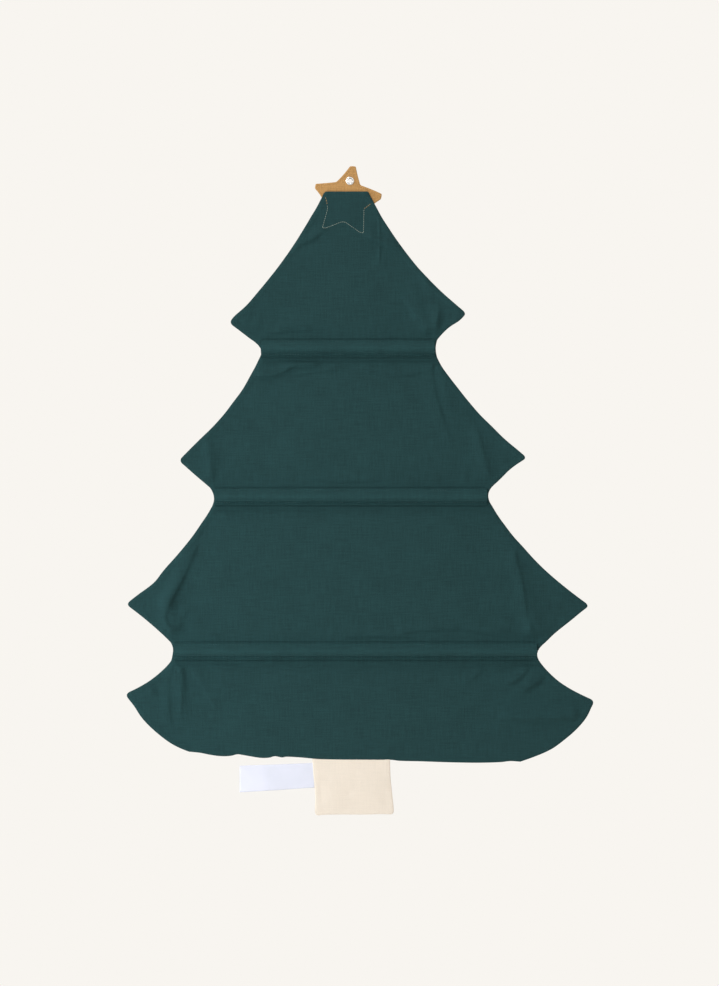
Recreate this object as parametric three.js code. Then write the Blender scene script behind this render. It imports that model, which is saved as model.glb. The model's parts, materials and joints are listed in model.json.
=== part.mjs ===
// Advent calendar: a fabric tree that hangs from an eyelet in the star at its top.
// Millimetres, +Z up. The origin is on the eyelet's axis, in the middle of the tree panel's thickness.
// The side with the pockets faces -Y, and the side that lies against the wall faces +Y.
import * as THREE from 'three';
import { mergeVertices } from 'three/addons/utils/BufferGeometryUtils.js';

// Cloth
const CLOTH = 1.0; // one layer of canvas with its interlining
const LAYER_GAP = 0.3; // air between two layers that are sewn together
const EDGE_ROLL = 0.8; // how far a turned seam draws in the outer face of a panel
const PANEL = 2 * CLOTH + LAYER_GAP;
const INNER_FACE = LAYER_GAP / 2;
const OUTER_FACE = PANEL / 2;

// Folds: a panel ends in a nose that turns inside a circle as wide as the panel is thick
const FOLD_CLEARANCE = 0.3;
const FOLD_SPACING = 25.4; // from the fold above a casing to the fold below it
const NOSE = Math.sqrt(OUTER_FACE ** 2 - INNER_FACE ** 2);
const SPINE_SETBACK = OUTER_FACE + FOLD_CLEARANCE;

// Tree outline. Side +1 is the +X side, -1 the -X side, and widths are measured from the middle.
// The lowest seam is level over the trunk, and rises by the given amount to each foot.
const TREE_TOP_DROP = 14.8; // from the eyelet to the top edge of the tree
const TIP_ROUND_ABOVE = 8; // how far the blunt tip of a bough runs up its slope
const TIP_ROUND_BELOW = 7; // and along its underside
const TIERS = [
  {
    height: 204.9,
    steps: { slope: 8, under: 3 },
    sides: {
      '1': {
        shoulder: 34.5, slope: [88.5, 104.0], tip: [167.0, 182.4],
        under: [151.9, 193.6], foot: 137.0,
      },
      '-1': {
        shoulder: 25.1, slope: [78.3, 105.0], tip: [162.5, 169.5],
        under: [135.6, 186.9], foot: 120.9,
      },
    },
    pockets: { rows: [1, 2], foot: 8 },
    folds: [
      { side: -1, start: [106, 190], end: [86, 130], height: 2.6, width: 9 },
      { side: -1, start: [120, 188], end: [124, 158], height: 2.0, width: 7 },
      { side: 1, start: [39, 54], end: [74, 76], height: 1.4, width: 7 },
      { side: -1, start: [30, 62], end: [64, 78], height: 1.4, width: 7 },
    ],
  },
  {
    height: 179.9,
    steps: { slope: 8, under: 3 },
    sides: {
      '1': {
        shoulder: 125.5, slope: [159.6, 73.6], tip: [236.3, 142.4],
        under: [217.3, 159.6], foot: 194.2,
      },
      '-1': {
        shoulder: 121.3, slope: [163.3, 72.6], tip: [245.3, 138.8],
        under: [209.8, 158.8], foot: 194.3,
      },
    },
    pockets: { rows: [3, 4], foot: 22 },
    folds: [
      { side: 1, start: [192, 165], end: [196, 112], height: 2.4, width: 10 },
      { side: -1, start: [193, 166], end: [176, 108], height: 2.8, width: 10 },
      { side: -1, start: [126, 20], end: [140, 70], height: 1.6, width: 9 },
    ],
  },
  {
    height: 188.6,
    steps: { slope: 8, under: 3 },
    sides: {
      '1': {
        shoulder: 191.0, slope: [227.6, 68.0], tip: [310.1, 135.8],
        under: [275.8, 160.2], foot: 248.7,
      },
      '-1': {
        shoulder: 196.8, slope: [234.6, 68.4], tip: [331.8, 137.9],
        under: [295.1, 162.4], foot: 269.5,
      },
    },
    pockets: { rows: [4, 5], foot: 26 },
    folds: [
      { side: 1, start: [246, 176], end: [254, 130], height: 3.4, width: 10 },
      { side: 1, start: [252, 134], end: [226, 62], height: 3.2, width: 10 },
      { side: -1, start: [260, 176], end: [226, 70], height: 3.2, width: 11 },
    ],
  },
  {
    height: 136.9,
    steps: { slope: 3, under: 8 },
    sides: {
      '1': {
        shoulder: 247.1, slope: [267.6, 27.6], tip: [311.5, 45.8],
        under: [276.0, 107.0], foot: 221.0, rise: 10.5,
      },
      '-1': {
        shoulder: 261.9, slope: [282.4, 32.8], tip: [340.0, 55.5],
        under: [316.3, 112.3], foot: 235.6, rise: -2.5,
      },
    },
    pockets: { rows: [5], foot: 45 },
    folds: [
      { side: 1, start: [243, 12], end: [230, 66], height: 2.8, width: 9 },
      { side: -1, start: [258, 8], end: [236, 44], height: 2.8, width: 9 },
      { side: -1, start: [306, 74], end: [226, 80], height: 2.6, width: 10 },
    ],
  },
];
const ACROSS = [0, 0.04, 0.08, 0.13, 0.19, 0.32, 0.5, 0.68, 0.81, 0.87, 0.92, 0.96, 1];
const FOLD_FLAT = 4; // the cloth lies flat this far from a fold line, clear of a folded casing
const FOLD_FADE = 20; // and takes its full drape from here on
const FIELD_MARGIN = 6; // the cloth lies flat as far as this beyond the outermost pocket
const SEAM_LEVEL = 62; // how far from the middle the lowest seam runs level, over the trunk
const BOUGH_LIFT = 3.5; // how far the tip of a bough bends back towards the wall

// Casings and the rods in them
const CASING_ENDS = [
  { '1': 124.5, '-1': 118.6 },
  { '1': 188.6, '-1': 191.3 },
  { '1': 244.3, '-1': 260.0 },
];
const STRIP_INSET = 4; // the hemmed ends of a casing strip lie this far inside the panel's edges
const FLANGE_WIDTH = 3.2; // the stitched edge of a casing strip
const ROD_RADIUS = 4;
const ROD_CLEARANCE = 0.35;
const ROD_INSET = 5; // a rod stops this far inside each end of its strip
const ROD_SIDES = 16;
const BULGE_FACETS = 7; // odd, so that the middle one lies flat against the wall

// Star
const STAR_CENTRE = [2.4, -31.2];
// Places of the tips and of the notch after each, from the star's centre
const STAR_TIPS = [[-6.5, 51.8], [45.9, 24.3], [39.8, -39.3], [-21.3, -46.3], [-47.3, 10.1]];
const STAR_NOTCHES = [[15.9, 29.0], [31.9, -9.0], [8.2, -29.5], [-25.2, -9.3], [-17.4, 24.9]];
const STAR_BLUNT = 3.8; // half the width of each blunt tip
const STAR_ROUND = 1.5; // how far the corners of a tip are drawn back
const STAR_HOLLOW = 0.8; // how far each edge curves in
const STAR_EDGE_STEPS = 3;

// Eyelet and its washer, on the Y axis
const EYELET_BORE = 3.3;
const EYELET_WALL = 0.5;
const EYELET_FLANGE = 5.65;
const EYELET_CURL = 5.0;
const EYELET_PLATE = 0.6;
const WASHER_PLATE = 0.5;
const EYELET_CLEARANCE = 0.3;
const EYELET_SIDES = 24;
const EYELET_BARREL = EYELET_BORE + EYELET_WALL;

// Trunk
const TRUNK_TOP = { '1': 51.8, '-1': 55.5 };
const TRUNK_FOOT = { '1': [46.3, 75.9], '-1': [60.4, 72.5] };
const TRUNK_CORNER = 4;
const TRUNK_EDGE_ROLL = 1.2;
const TRUNK_CROWN = 0.9; // how far its padding stands out in the middle of each face
const TRUNK_ROWS = [0, 0.12, 0.3, 0.5, 0.7, 0.88];
const TRUNK_ACROSS = [0, 0.08, 0.25, 0.5, 0.75, 0.92, 1];

// Care label, one ribbon folded in half
const LABEL_WIDTH = 35;
const LABEL_LENGTH = 100;
const LABEL_PLY = 0.4;
const LABEL_PLY_GAP = 0.4;
const LABEL_DROP = 3.4; // from the trunk's top edge to the label
const LABEL_SLANT = 2; // degrees that the label slopes down away from the trunk

// Pockets
const POCKET_WIDTH = 66;
const POCKET_HEIGHT = 60;
const POCKET_DEPTH = 8;
const POCKET_PITCH = 88;
const POCKET_ROW_GAP = 8;
const POCKET_SEAM = 0.93; // share of the half width at which the stitched margin starts
const POCKET_ACROSS = [-1, -0.93, -0.8, -0.6, 0, 0.6, 0.8, 0.93, 1];
const POCKET_DOWN = [0, 0.55, 0.75, 0.86, 0.93, 1];

const group = new THREE.Group();

function material(color, roughness, metalness = 0) {
  return new THREE.MeshStandardMaterial({ color, roughness, metalness });
}

const GREEN_CANVAS = material(0x2b4546, 0.9);
const MUSTARD_CANVAS = material(0xcd9852, 0.88);
const CREAM_CANVAS = material(0xf4e8d7, 0.9);
const WHITE_RIBBON = material(0xeceef8, 0.45);
const BEECH = material(0xc9a878, 0.55);
const NICKEL = material(0xd6d6d2, 0.3, 0.9);

function add(name, geometry, finish) {
  const mesh = new THREE.Mesh(geometry, finish.clone());
  mesh.name = name;
  group.add(mesh);
  return mesh;
}

function welded(geometry) {
  geometry.deleteAttribute('normal');
  geometry.deleteAttribute('uv');
  return mergeVertices(geometry, 1e-4);
}

function signedVolume(points, faces) {
  let volume = 0;
  for (let i = 0; i < faces.length; i += 3) {
    const [a, b, c] = [points[faces[i]], points[faces[i + 1]], points[faces[i + 2]]];
    volume += a.dot(b.clone().cross(c)) / 6;
  }
  return volume;
}

// A closed sheet between two faces, each given as rows of points from its top to its bottom.
function closedSheet(outer, inner) {
  const rows = outer.length;
  const columns = outer[0].length;
  const points = [...outer.flat(), ...inner.flat()];
  const at = (face, row, column) => (face * rows + row) * columns + column;
  const faces = [];
  const quad = (a, b, c, d) => faces.push(a, b, c, a, c, d);
  for (let row = 0; row < rows - 1; row++) {
    for (let column = 0; column < columns - 1; column++) {
      const [right, below] = [column + 1, row + 1];
      quad(at(0, row, column), at(0, row, right), at(0, below, right), at(0, below, column));
      quad(at(1, row, column), at(1, below, column), at(1, below, right), at(1, row, right));
    }
    quad(at(0, row, 0), at(0, row + 1, 0), at(1, row + 1, 0), at(1, row, 0));
    quad(at(0, row, columns - 1), at(1, row, columns - 1), at(1, row + 1, columns - 1),
      at(0, row + 1, columns - 1));
  }
  for (let column = 0; column < columns - 1; column++) {
    quad(at(0, 0, column), at(1, 0, column), at(1, 0, column + 1), at(0, 0, column + 1));
    quad(at(0, rows - 1, column), at(0, rows - 1, column + 1), at(1, rows - 1, column + 1),
      at(1, rows - 1, column));
  }
  if (signedVolume(points, faces) < 0) {
    faces.reverse();
  }
  const geometry = new THREE.BufferGeometry().setFromPoints(points);
  geometry.setIndex(faces);
  return geometry;
}

const lerp = THREE.MathUtils.lerp;
const smooth = (value, from, to) => THREE.MathUtils.smoothstep(value, from, to);

// The tiers hang one below the other, with a casing between each two.
let hang = -TREE_TOP_DROP;
for (const tier of TIERS) {
  tier.top = hang;
  tier.bottom = hang - tier.height;
  hang = tier.bottom - FOLD_SPACING;
}
const CASING_HEIGHT = FOLD_SPACING - 2 * SPINE_SETBACK;
const LAST_TIER = TIERS[TIERS.length - 1];

// Points down one side of a tier: a long curved slope, the blunt tip of the bough, and its underside.
function sideOfTier(tier, side) {
  const shape = tier.sides[side];
  const point = (x, drop) => new THREE.Vector2(side * x, tier.top - drop);
  const shoulder = point(shape.shoulder, 0);
  const tip = point(...shape.tip);
  const foot = point(shape.foot, tier.height - (shape.rise ?? 0));
  const slope = new THREE.QuadraticBezierCurve(shoulder, point(...shape.slope), tip);
  const underside = new THREE.QuadraticBezierCurve(tip, point(...shape.under), foot);
  const slopeEnd = 1 - TIP_ROUND_ABOVE / slope.getLength();
  const underStart = TIP_ROUND_BELOW / underside.getLength();
  const nose = new THREE.QuadraticBezierCurve(slope.getPointAt(slopeEnd), tip,
    underside.getPointAt(underStart));
  const points = [];
  for (let i = 0; i <= tier.steps.slope; i++) {
    points.push(slope.getPointAt(slopeEnd * i / tier.steps.slope));
  }
  points.push(nose.getPoint(0.5));
  for (let i = 0; i <= tier.steps.under; i++) {
    points.push(underside.getPointAt(lerp(underStart, 1, i / tier.steps.under)));
  }
  if (tier !== TIERS[0]) {
    points.splice(1, 0, beside(points[0], points[1]));
  }
  if (tier !== LAST_TIER) {
    points.splice(-1, 0, beside(points.at(-1), points.at(-2)));
  }
  return points;
}

// The point of an edge where the flat cloth beside a fold ends.
function beside(onFold, next) {
  return onFold.clone().lerp(next, FOLD_FLAT / Math.abs(next.y - onFold.y));
}

const rowWidth = (count) => (count - 1) * POCKET_PITCH + POCKET_WIDTH;

function distanceToSegment(point, start, end) {
  const along = end.clone().sub(start);
  const share = THREE.MathUtils.clamp(point.clone().sub(start).dot(along) / along.lengthSq(), 0, 1);
  return { share, distance: point.distanceTo(start.clone().addScaledVector(along, share)) };
}

// How far the cloth of a tier stands back from flat: soft folds in the boughs, none under the pockets.
function drape(tier, x, z) {
  const field = rowWidth(Math.max(...tier.pockets.rows)) / 2 + FIELD_MARGIN;
  const place = new THREE.Vector2(x, z);
  let lift = BOUGH_LIFT * smooth(Math.abs(x), field, tier.sides[Math.sign(x) || 1].tip[0]);
  for (const fold of tier.folds) {
    const [start, end] = [fold.start, fold.end].map(([out, drop]) => new THREE.Vector2(
      fold.side * out, tier.top - drop));
    const { share, distance } = distanceToSegment(place, start, end);
    lift += fold.height * (1 - 0.5 * share) * Math.exp(-((distance / fold.width) ** 2));
  }
  const upper = tier === TIERS[0] ? 1 : smooth(tier.top - z, FOLD_FLAT, FOLD_FADE);
  return lift * upper * smooth(z - tier.bottom, FOLD_FLAT, FOLD_FADE);
}

function pocketRows(tier) {
  const rows = [];
  tier.pockets.rows.forEach((count, row) => {
    const below = tier.pockets.rows.length - 1 - row;
    const top = tier.bottom + tier.pockets.foot + POCKET_HEIGHT + below * (POCKET_HEIGHT + POCKET_ROW_GAP);
    rows.push({ count, top });
  });
  return rows;
}

// The height of the tree's lowest seam.
function lowestSeam(x) {
  const { foot, rise } = LAST_TIER.sides[Math.sign(x) || 1];
  return LAST_TIER.bottom + rise * smooth(Math.abs(x), SEAM_LEVEL, foot);
}

// One layer of a tier. The face sign is -1 for the front cloth and +1 for the back cloth.
function tierCloth(tier, face) {
  const [near, far] = [sideOfTier(tier, 1), sideOfTier(tier, -1)];
  const last = near.length - 1;
  const layer = (depth, roll, nose) => near.map((left, row) => {
    const right = far[row];
    let overhang = 0;
    if (row === 0 && tier !== TIERS[0]) {
      overhang = nose;
    }
    if (row === last && tier !== LAST_TIER) {
      overhang = -nose;
    }
    return ACROSS.map((share) => {
      const x = lerp(left.x - roll, right.x + roll, share);
      const z = row === last && tier === LAST_TIER ? lowestSeam(x) : lerp(left.y, right.y, share);
      return new THREE.Vector3(x, face * depth + drape(tier, x, z), z + overhang);
    });
  });
  return closedSheet(layer(OUTER_FACE, EDGE_ROLL, 0), layer(INNER_FACE, 0, NOSE));
}

TIERS.forEach((tier, index) => {
  add(`tier_${index + 1}_front_cloth`, tierCloth(tier, -1), GREEN_CANVAS);
  add(`tier_${index + 1}_back_cloth`, tierCloth(tier, 1), GREEN_CANVAS);
});

// The narrow stretch of panel under a casing, from the fold above it to the fold below.
function spineCloth(index, face) {
  const [above, below] = [TIERS[index], TIERS[index + 1]];
  const top = above.bottom - SPINE_SETBACK;
  const ends = CASING_ENDS[index];
  const rows = [
    { z: top, '1': above.sides[1].foot, '-1': above.sides[-1].foot },
    { z: top - CASING_HEIGHT / 2, '1': ends[1], '-1': ends[-1] },
    { z: top - CASING_HEIGHT, '1': below.sides[1].shoulder, '-1': below.sides[-1].shoulder },
  ];
  const layer = (depth, roll) => rows.map((row) => [1, -1].map((side) => new THREE.Vector3(
    side * (row[side] - roll), face * depth, row.z)));
  return closedSheet(layer(OUTER_FACE, EDGE_ROLL), layer(INNER_FACE, 0));
}

// The angle at which a straight run of strip from the flange meets the bulge over the rod.
function tangentAngle(halfWidth, drop, radius) {
  return Math.atan2(drop, halfWidth) + Math.asin(radius / Math.hypot(halfWidth, drop));
}

// Section of a casing strip: two flat stitched edges and a bulge that wraps the rod.
function stripSection() {
  const rodCentre = OUTER_FACE + ROD_CLEARANCE + ROD_RADIUS;
  const flangeInner = OUTER_FACE + LAYER_GAP;
  const half = CASING_HEIGHT / 2;
  const bulge = (radius, flange) => {
    const reach = tangentAngle(half - FLANGE_WIDTH, rodCentre - flange, radius);
    const points = [];
    for (let i = 0; i <= BULGE_FACETS; i++) {
      const angle = lerp(-reach, reach, i / BULGE_FACETS);
      points.push(new THREE.Vector2(radius * Math.sin(angle), rodCentre + radius * Math.cos(angle)));
    }
    return points;
  };
  const inner = bulge(ROD_RADIUS + ROD_CLEARANCE, flangeInner);
  const outer = bulge(ROD_RADIUS + ROD_CLEARANCE + CLOTH, flangeInner + CLOTH);
  return [
    new THREE.Vector2(-half, flangeInner),
    new THREE.Vector2(FLANGE_WIDTH - half, flangeInner),
    ...inner,
    new THREE.Vector2(half - FLANGE_WIDTH, flangeInner),
    new THREE.Vector2(half, flangeInner),
    new THREE.Vector2(half, flangeInner + CLOTH),
    new THREE.Vector2(half - FLANGE_WIDTH, flangeInner + CLOTH),
    ...outer.reverse(),
    new THREE.Vector2(FLANGE_WIDTH - half, flangeInner + CLOTH),
    new THREE.Vector2(-half, flangeInner + CLOTH),
  ];
}

function casingStrip(index) {
  const ends = CASING_ENDS[index];
  const geometry = new THREE.ExtrudeGeometry(new THREE.Shape(stripSection()), {
    depth: ends[1] + ends[-1] - 2 * STRIP_INSET, bevelEnabled: false,
  });
  geometry.rotateY(Math.PI / 2);
  geometry.translate(STRIP_INSET - ends[-1], 0, TIERS[index].bottom - FOLD_SPACING / 2);
  return welded(geometry);
}

function rod(index) {
  const ends = CASING_ENDS[index];
  const length = ends[1] + ends[-1] - 2 * (STRIP_INSET + ROD_INSET);
  const geometry = new THREE.CylinderGeometry(ROD_RADIUS, ROD_RADIUS, length, ROD_SIDES);
  geometry.rotateZ(Math.PI / 2);
  geometry.translate((ends[1] - ends[-1]) / 2, OUTER_FACE + ROD_CLEARANCE + ROD_RADIUS,
    TIERS[index].bottom - FOLD_SPACING / 2);
  return welded(geometry);
}

CASING_ENDS.forEach((ends, index) => {
  add(`spine_${index + 1}_front_cloth`, spineCloth(index, -1), GREEN_CANVAS);
  add(`spine_${index + 1}_back_cloth`, spineCloth(index, 1), GREEN_CANVAS);
  add(`casing_${index + 1}_strip`, casingStrip(index), GREEN_CANVAS);
  add(`dowel_${index + 1}`, rod(index), BEECH);
});

// Star outline about its own centre, with blunt tips and slightly hollow edges.
function starShape() {
  const notches = STAR_NOTCHES.map(([x, z]) => new THREE.Vector2(x, z));
  const hollow = (from, to) => {
    const middle = from.clone().add(to).multiplyScalar(0.5);
    return middle.setLength(middle.length() - 2 * STAR_HOLLOW);
  };
  const shape = new THREE.Shape();
  let before = notches[notches.length - 1];
  shape.moveTo(before.x, before.y);
  STAR_TIPS.forEach(([x, z], i) => {
    const tip = new THREE.Vector2(x, z);
    const round = tip.clone().setLength(STAR_ROUND);
    const aside = new THREE.Vector2(z, -x).setLength(STAR_BLUNT);
    const arriving = tip.clone().sub(round).sub(aside);
    const leaving = tip.clone().sub(round).add(aside);
    const crest = tip.clone().add(round);
    const after = notches[i];
    const inward = hollow(before, arriving);
    const outward = hollow(leaving, after);
    shape.quadraticCurveTo(inward.x, inward.y, arriving.x, arriving.y);
    shape.quadraticCurveTo(crest.x, crest.y, leaving.x, leaving.y);
    shape.quadraticCurveTo(outward.x, outward.y, after.x, after.y);
    before = after;
  });
  return shape;
}

// One layer of the star, with the hole for the eyelet. Its inner plane is the one nearer the tree.
function starCloth(nearPlane) {
  const shape = starShape();
  const eyelet = new THREE.Vector2(-STAR_CENTRE[0], -STAR_CENTRE[1]);
  const rim = Array.from({ length: EYELET_SIDES }, (_, i) => eyelet.clone().add(
    new THREE.Vector2(EYELET_BARREL + EYELET_CLEARANCE, 0).rotateAround(new THREE.Vector2(),
      2 * Math.PI * i / EYELET_SIDES)));
  shape.holes.push(new THREE.Path(rim));
  const geometry = new THREE.ExtrudeGeometry(shape, {
    depth: CLOTH, bevelEnabled: false, curveSegments: STAR_EDGE_STEPS,
  });
  geometry.rotateX(Math.PI / 2);
  geometry.translate(STAR_CENTRE[0], nearPlane, STAR_CENTRE[1]);
  return welded(geometry);
}

const STAR_BACK_PLANE = -OUTER_FACE - LAYER_GAP;
const STAR_MIDDLE_PLANE = STAR_BACK_PLANE - CLOTH - LAYER_GAP;
const STAR_FRONT_PLANE = STAR_MIDDLE_PLANE - CLOTH;
add('star_back_cloth', starCloth(STAR_BACK_PLANE), MUSTARD_CANVAS);
add('star_front_cloth', starCloth(STAR_MIDDLE_PLANE), MUSTARD_CANVAS);

// A ring turned about the Y axis from corners of radius and place along the axis.
function turnedRing(corners) {
  const profile = [...corners, corners[0]].map(([radius, along]) => new THREE.Vector2(radius, along));
  const geometry = welded(new THREE.LatheGeometry(profile, EYELET_SIDES));
  const position = geometry.getAttribute('position');
  const points = [];
  for (let i = 0; i < position.count; i++) {
    points.push(new THREE.Vector3().fromBufferAttribute(position, i));
  }
  const faces = Array.from(geometry.index.array);
  if (signedVolume(points, faces) < 0) {
    geometry.setIndex(faces.reverse());
  }
  return geometry;
}

// The eyelet's flange lies on the front of the star, and its barrel is curled over the washer behind.
const WASHER_FRONT = STAR_BACK_PLANE + EYELET_CLEARANCE;
const WASHER_BACK = WASHER_FRONT + WASHER_PLATE;
const CURL_FRONT = WASHER_BACK + EYELET_CLEARANCE;
const FLANGE_BACK = STAR_FRONT_PLANE - EYELET_CLEARANCE;
add('eyelet', turnedRing([
  [EYELET_BORE, FLANGE_BACK - EYELET_PLATE / 2],
  [EYELET_BORE + EYELET_WALL, FLANGE_BACK - EYELET_PLATE],
  [EYELET_FLANGE - EYELET_WALL, FLANGE_BACK - EYELET_PLATE],
  [EYELET_FLANGE, FLANGE_BACK - EYELET_PLATE / 2],
  [EYELET_FLANGE, FLANGE_BACK],
  [EYELET_BARREL, FLANGE_BACK],
  [EYELET_BARREL, CURL_FRONT],
  [EYELET_CURL, CURL_FRONT],
  [EYELET_CURL - EYELET_WALL, CURL_FRONT + EYELET_WALL],
  [EYELET_BARREL, CURL_FRONT + EYELET_WALL],
  [EYELET_BORE, CURL_FRONT],
]), NICKEL);
add('eyelet_washer', turnedRing([
  [EYELET_BARREL + EYELET_CLEARANCE, WASHER_FRONT],
  [EYELET_FLANGE, WASHER_FRONT],
  [EYELET_FLANGE, WASHER_BACK],
  [EYELET_BARREL + EYELET_CLEARANCE, WASHER_BACK],
]), NICKEL);

// The trunk hangs from the bottom seam. Its sides slope a little, and its foot has rounded corners.
const TRUNK_FOLD = LAST_TIER.bottom - SPINE_SETBACK;

function trunkSidePoint(side, share) {
  const [footX, footDrop] = TRUNK_FOOT[side];
  return new THREE.Vector2(side * lerp(TRUNK_TOP[side], footX, share), TRUNK_FOLD - footDrop * share);
}

function trunkCloth(face) {
  const rows = TRUNK_ROWS.map((share) => ({ share, inset: 0 }));
  const height = TRUNK_FOOT[1][1];
  for (const turn of [0, Math.PI / 4, Math.PI / 2]) {
    rows.push({
      share: 1 - TRUNK_CORNER * (1 - Math.sin(turn)) / height,
      inset: TRUNK_CORNER * (1 - Math.cos(turn)),
    });
  }
  const layer = (depth, roll, crown, nose) => rows.map((row, index) => TRUNK_ACROSS.map((across) => {
    const [left, right] = [trunkSidePoint(1, row.share), trunkSidePoint(-1, row.share)];
    const edge = row.inset + roll;
    const x = lerp(left.x - edge, right.x + edge, across);
    const z = lerp(left.y, right.y, across) + (index === 0 ? nose : 0);
    const pad = crown * Math.sin(Math.PI * across) * Math.sin(Math.PI * row.share);
    return new THREE.Vector3(x, face * (depth + pad), z);
  }));
  return closedSheet(layer(OUTER_FACE, TRUNK_EDGE_ROLL, TRUNK_CROWN, 0),
    layer(INNER_FACE, 0, TRUNK_CROWN, NOSE));
}

add('trunk_front_cloth', trunkCloth(-1), CREAM_CANVAS);
add('trunk_back_cloth', trunkCloth(1), CREAM_CANVAS);

// The care label: both ends of the ribbon lie at the trunk's side seam, and its fold is at the far end.
function careLabel() {
  const half = LABEL_PLY + LABEL_PLY_GAP / 2;
  const bend = LABEL_LENGTH - half;
  const section = new THREE.Shape();
  section.moveTo(0, -half);
  section.lineTo(bend, -half);
  section.absarc(bend, 0, half, -Math.PI / 2, Math.PI / 2, false);
  section.lineTo(0, half);
  section.lineTo(0, LABEL_PLY_GAP / 2);
  section.lineTo(bend, LABEL_PLY_GAP / 2);
  section.absarc(bend, 0, LABEL_PLY_GAP / 2, Math.PI / 2, -Math.PI / 2, true);
  section.lineTo(0, -LABEL_PLY_GAP / 2);
  const geometry = welded(new THREE.ExtrudeGeometry(section, {
    depth: LABEL_WIDTH, bevelEnabled: false, curveSegments: 4,
  }));
  const top = trunkSidePoint(1, LABEL_DROP / TRUNK_FOOT[1][1]);
  const lean = (TRUNK_TOP[1] - TRUNK_FOOT[1][0]) / TRUNK_FOOT[1][1];
  const slant = Math.tan(THREE.MathUtils.degToRad(LABEL_SLANT));
  const position = geometry.getAttribute('position');
  for (let i = 0; i < position.count; i++) {
    const [out, depth, rise] = [position.getX(i), position.getY(i), position.getZ(i) - LABEL_WIDTH];
    const rootShare = 1 - out / LABEL_LENGTH;
    position.setXYZ(i, top.x + half + FOLD_CLEARANCE + out + lean * rise * rootShare, depth,
      top.y + rise - slant * out);
  }
  return geometry;
}

add('care_label', careLabel(), WHITE_RIBBON);

// A patch pocket: an open-topped pouch with a flat stitched margin down both sides and along its foot.
function pocket(centreX, top) {
  const swell = (share, seam, power) => Math.max(0, 1 - (share / seam) ** power);
  const flat = -OUTER_FACE - LAYER_GAP;
  const layer = (depth) => POCKET_DOWN.map((down) => POCKET_ACROSS.map((across) => {
    const bulge = POCKET_DEPTH * swell(Math.abs(across), POCKET_SEAM, 6) * swell(down, POCKET_SEAM, 5);
    return new THREE.Vector3(centreX - across * POCKET_WIDTH / 2, flat - depth - bulge,
      top - down * POCKET_HEIGHT);
  }));
  return closedSheet(layer(CLOTH), layer(0));
}

let day = 0;
for (const tier of TIERS) {
  for (const { count, top } of pocketRows(tier)) {
    for (let place = 0; place < count; place++) {
      day += 1;
      const centreX = (place - (count - 1) / 2) * POCKET_PITCH;
      add(`pocket_${String(day).padStart(2, '0')}`, pocket(centreX, top), GREEN_CANVAS);
    }
  }
}

export default group;
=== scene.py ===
import json
import math
from collections import namedtuple

import bmesh
import bpy
import numpy as np
from mathutils import Matrix, Vector


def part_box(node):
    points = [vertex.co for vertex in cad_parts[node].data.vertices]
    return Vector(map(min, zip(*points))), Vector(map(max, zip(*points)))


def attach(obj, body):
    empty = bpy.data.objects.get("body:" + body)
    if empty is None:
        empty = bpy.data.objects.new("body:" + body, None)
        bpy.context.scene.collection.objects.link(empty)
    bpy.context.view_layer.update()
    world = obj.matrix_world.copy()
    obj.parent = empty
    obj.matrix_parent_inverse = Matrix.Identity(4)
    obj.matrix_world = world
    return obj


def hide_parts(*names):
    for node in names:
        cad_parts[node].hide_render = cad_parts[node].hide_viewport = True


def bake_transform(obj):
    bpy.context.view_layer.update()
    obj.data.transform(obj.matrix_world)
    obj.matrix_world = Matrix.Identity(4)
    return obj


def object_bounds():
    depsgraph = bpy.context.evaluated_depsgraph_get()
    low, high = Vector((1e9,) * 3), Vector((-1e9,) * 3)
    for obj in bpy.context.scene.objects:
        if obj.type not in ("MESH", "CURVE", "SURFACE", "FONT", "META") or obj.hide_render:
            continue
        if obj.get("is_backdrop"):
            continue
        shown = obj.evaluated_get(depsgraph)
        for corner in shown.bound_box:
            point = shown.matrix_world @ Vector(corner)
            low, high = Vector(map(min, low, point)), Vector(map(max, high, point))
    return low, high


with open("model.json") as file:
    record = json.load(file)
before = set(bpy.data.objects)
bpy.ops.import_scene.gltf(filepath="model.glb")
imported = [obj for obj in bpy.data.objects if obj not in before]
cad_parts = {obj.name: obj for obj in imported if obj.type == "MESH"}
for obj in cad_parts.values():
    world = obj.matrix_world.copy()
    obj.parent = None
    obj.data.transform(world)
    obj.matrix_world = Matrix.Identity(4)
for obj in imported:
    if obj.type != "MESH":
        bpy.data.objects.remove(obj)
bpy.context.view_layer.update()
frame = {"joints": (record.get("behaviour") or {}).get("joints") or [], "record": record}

# The tree panel: two layers of dark green cotton canvas, each about a millimetre thick with its interlining,
# sewn together face to face, turned right side out and pressed, so that the seam makes a soft round rim.
# It hangs as four tiers of boughs with a narrow stretch for a rod casing between each two.
MM = 0.001
CLOTH_FACE = 1.15  # millimetres from the middle of the panel to either face
CLOTH_INSIDE = 0.15
joint_height = {joint["name"]: joint["pos_m"][2] / MM for joint in frame["joints"] if "pos_m" in joint}
TREE_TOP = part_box("tier_1_back_cloth")[1].z / MM
TREE_BOTTOM = joint_height["trunk_fold"] + 1.45
CASINGS = (1, 2, 3)
TIER_TOPS = [TREE_TOP] + [joint_height[f"casing_{k}_lower_fold"] for k in CASINGS]
TIER_BOTTOMS = [joint_height[f"casing_{k}_upper_fold"] for k in CASINGS] + [TREE_BOTTOM]
BUTT = 4.0  # the pieces of the panel meet this far below a fold line, where the cloth lies flat
FOLD_FLAT, FOLD_FADE = 4.0, 20.0  # flat beside a fold, and free to drape from the second distance on
CREASE_FADE = 9.0  # creases run closer to the folds than the drape does
LEFT, RIGHT = 1, -1  # as seen from the wall side: left is +X

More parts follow.
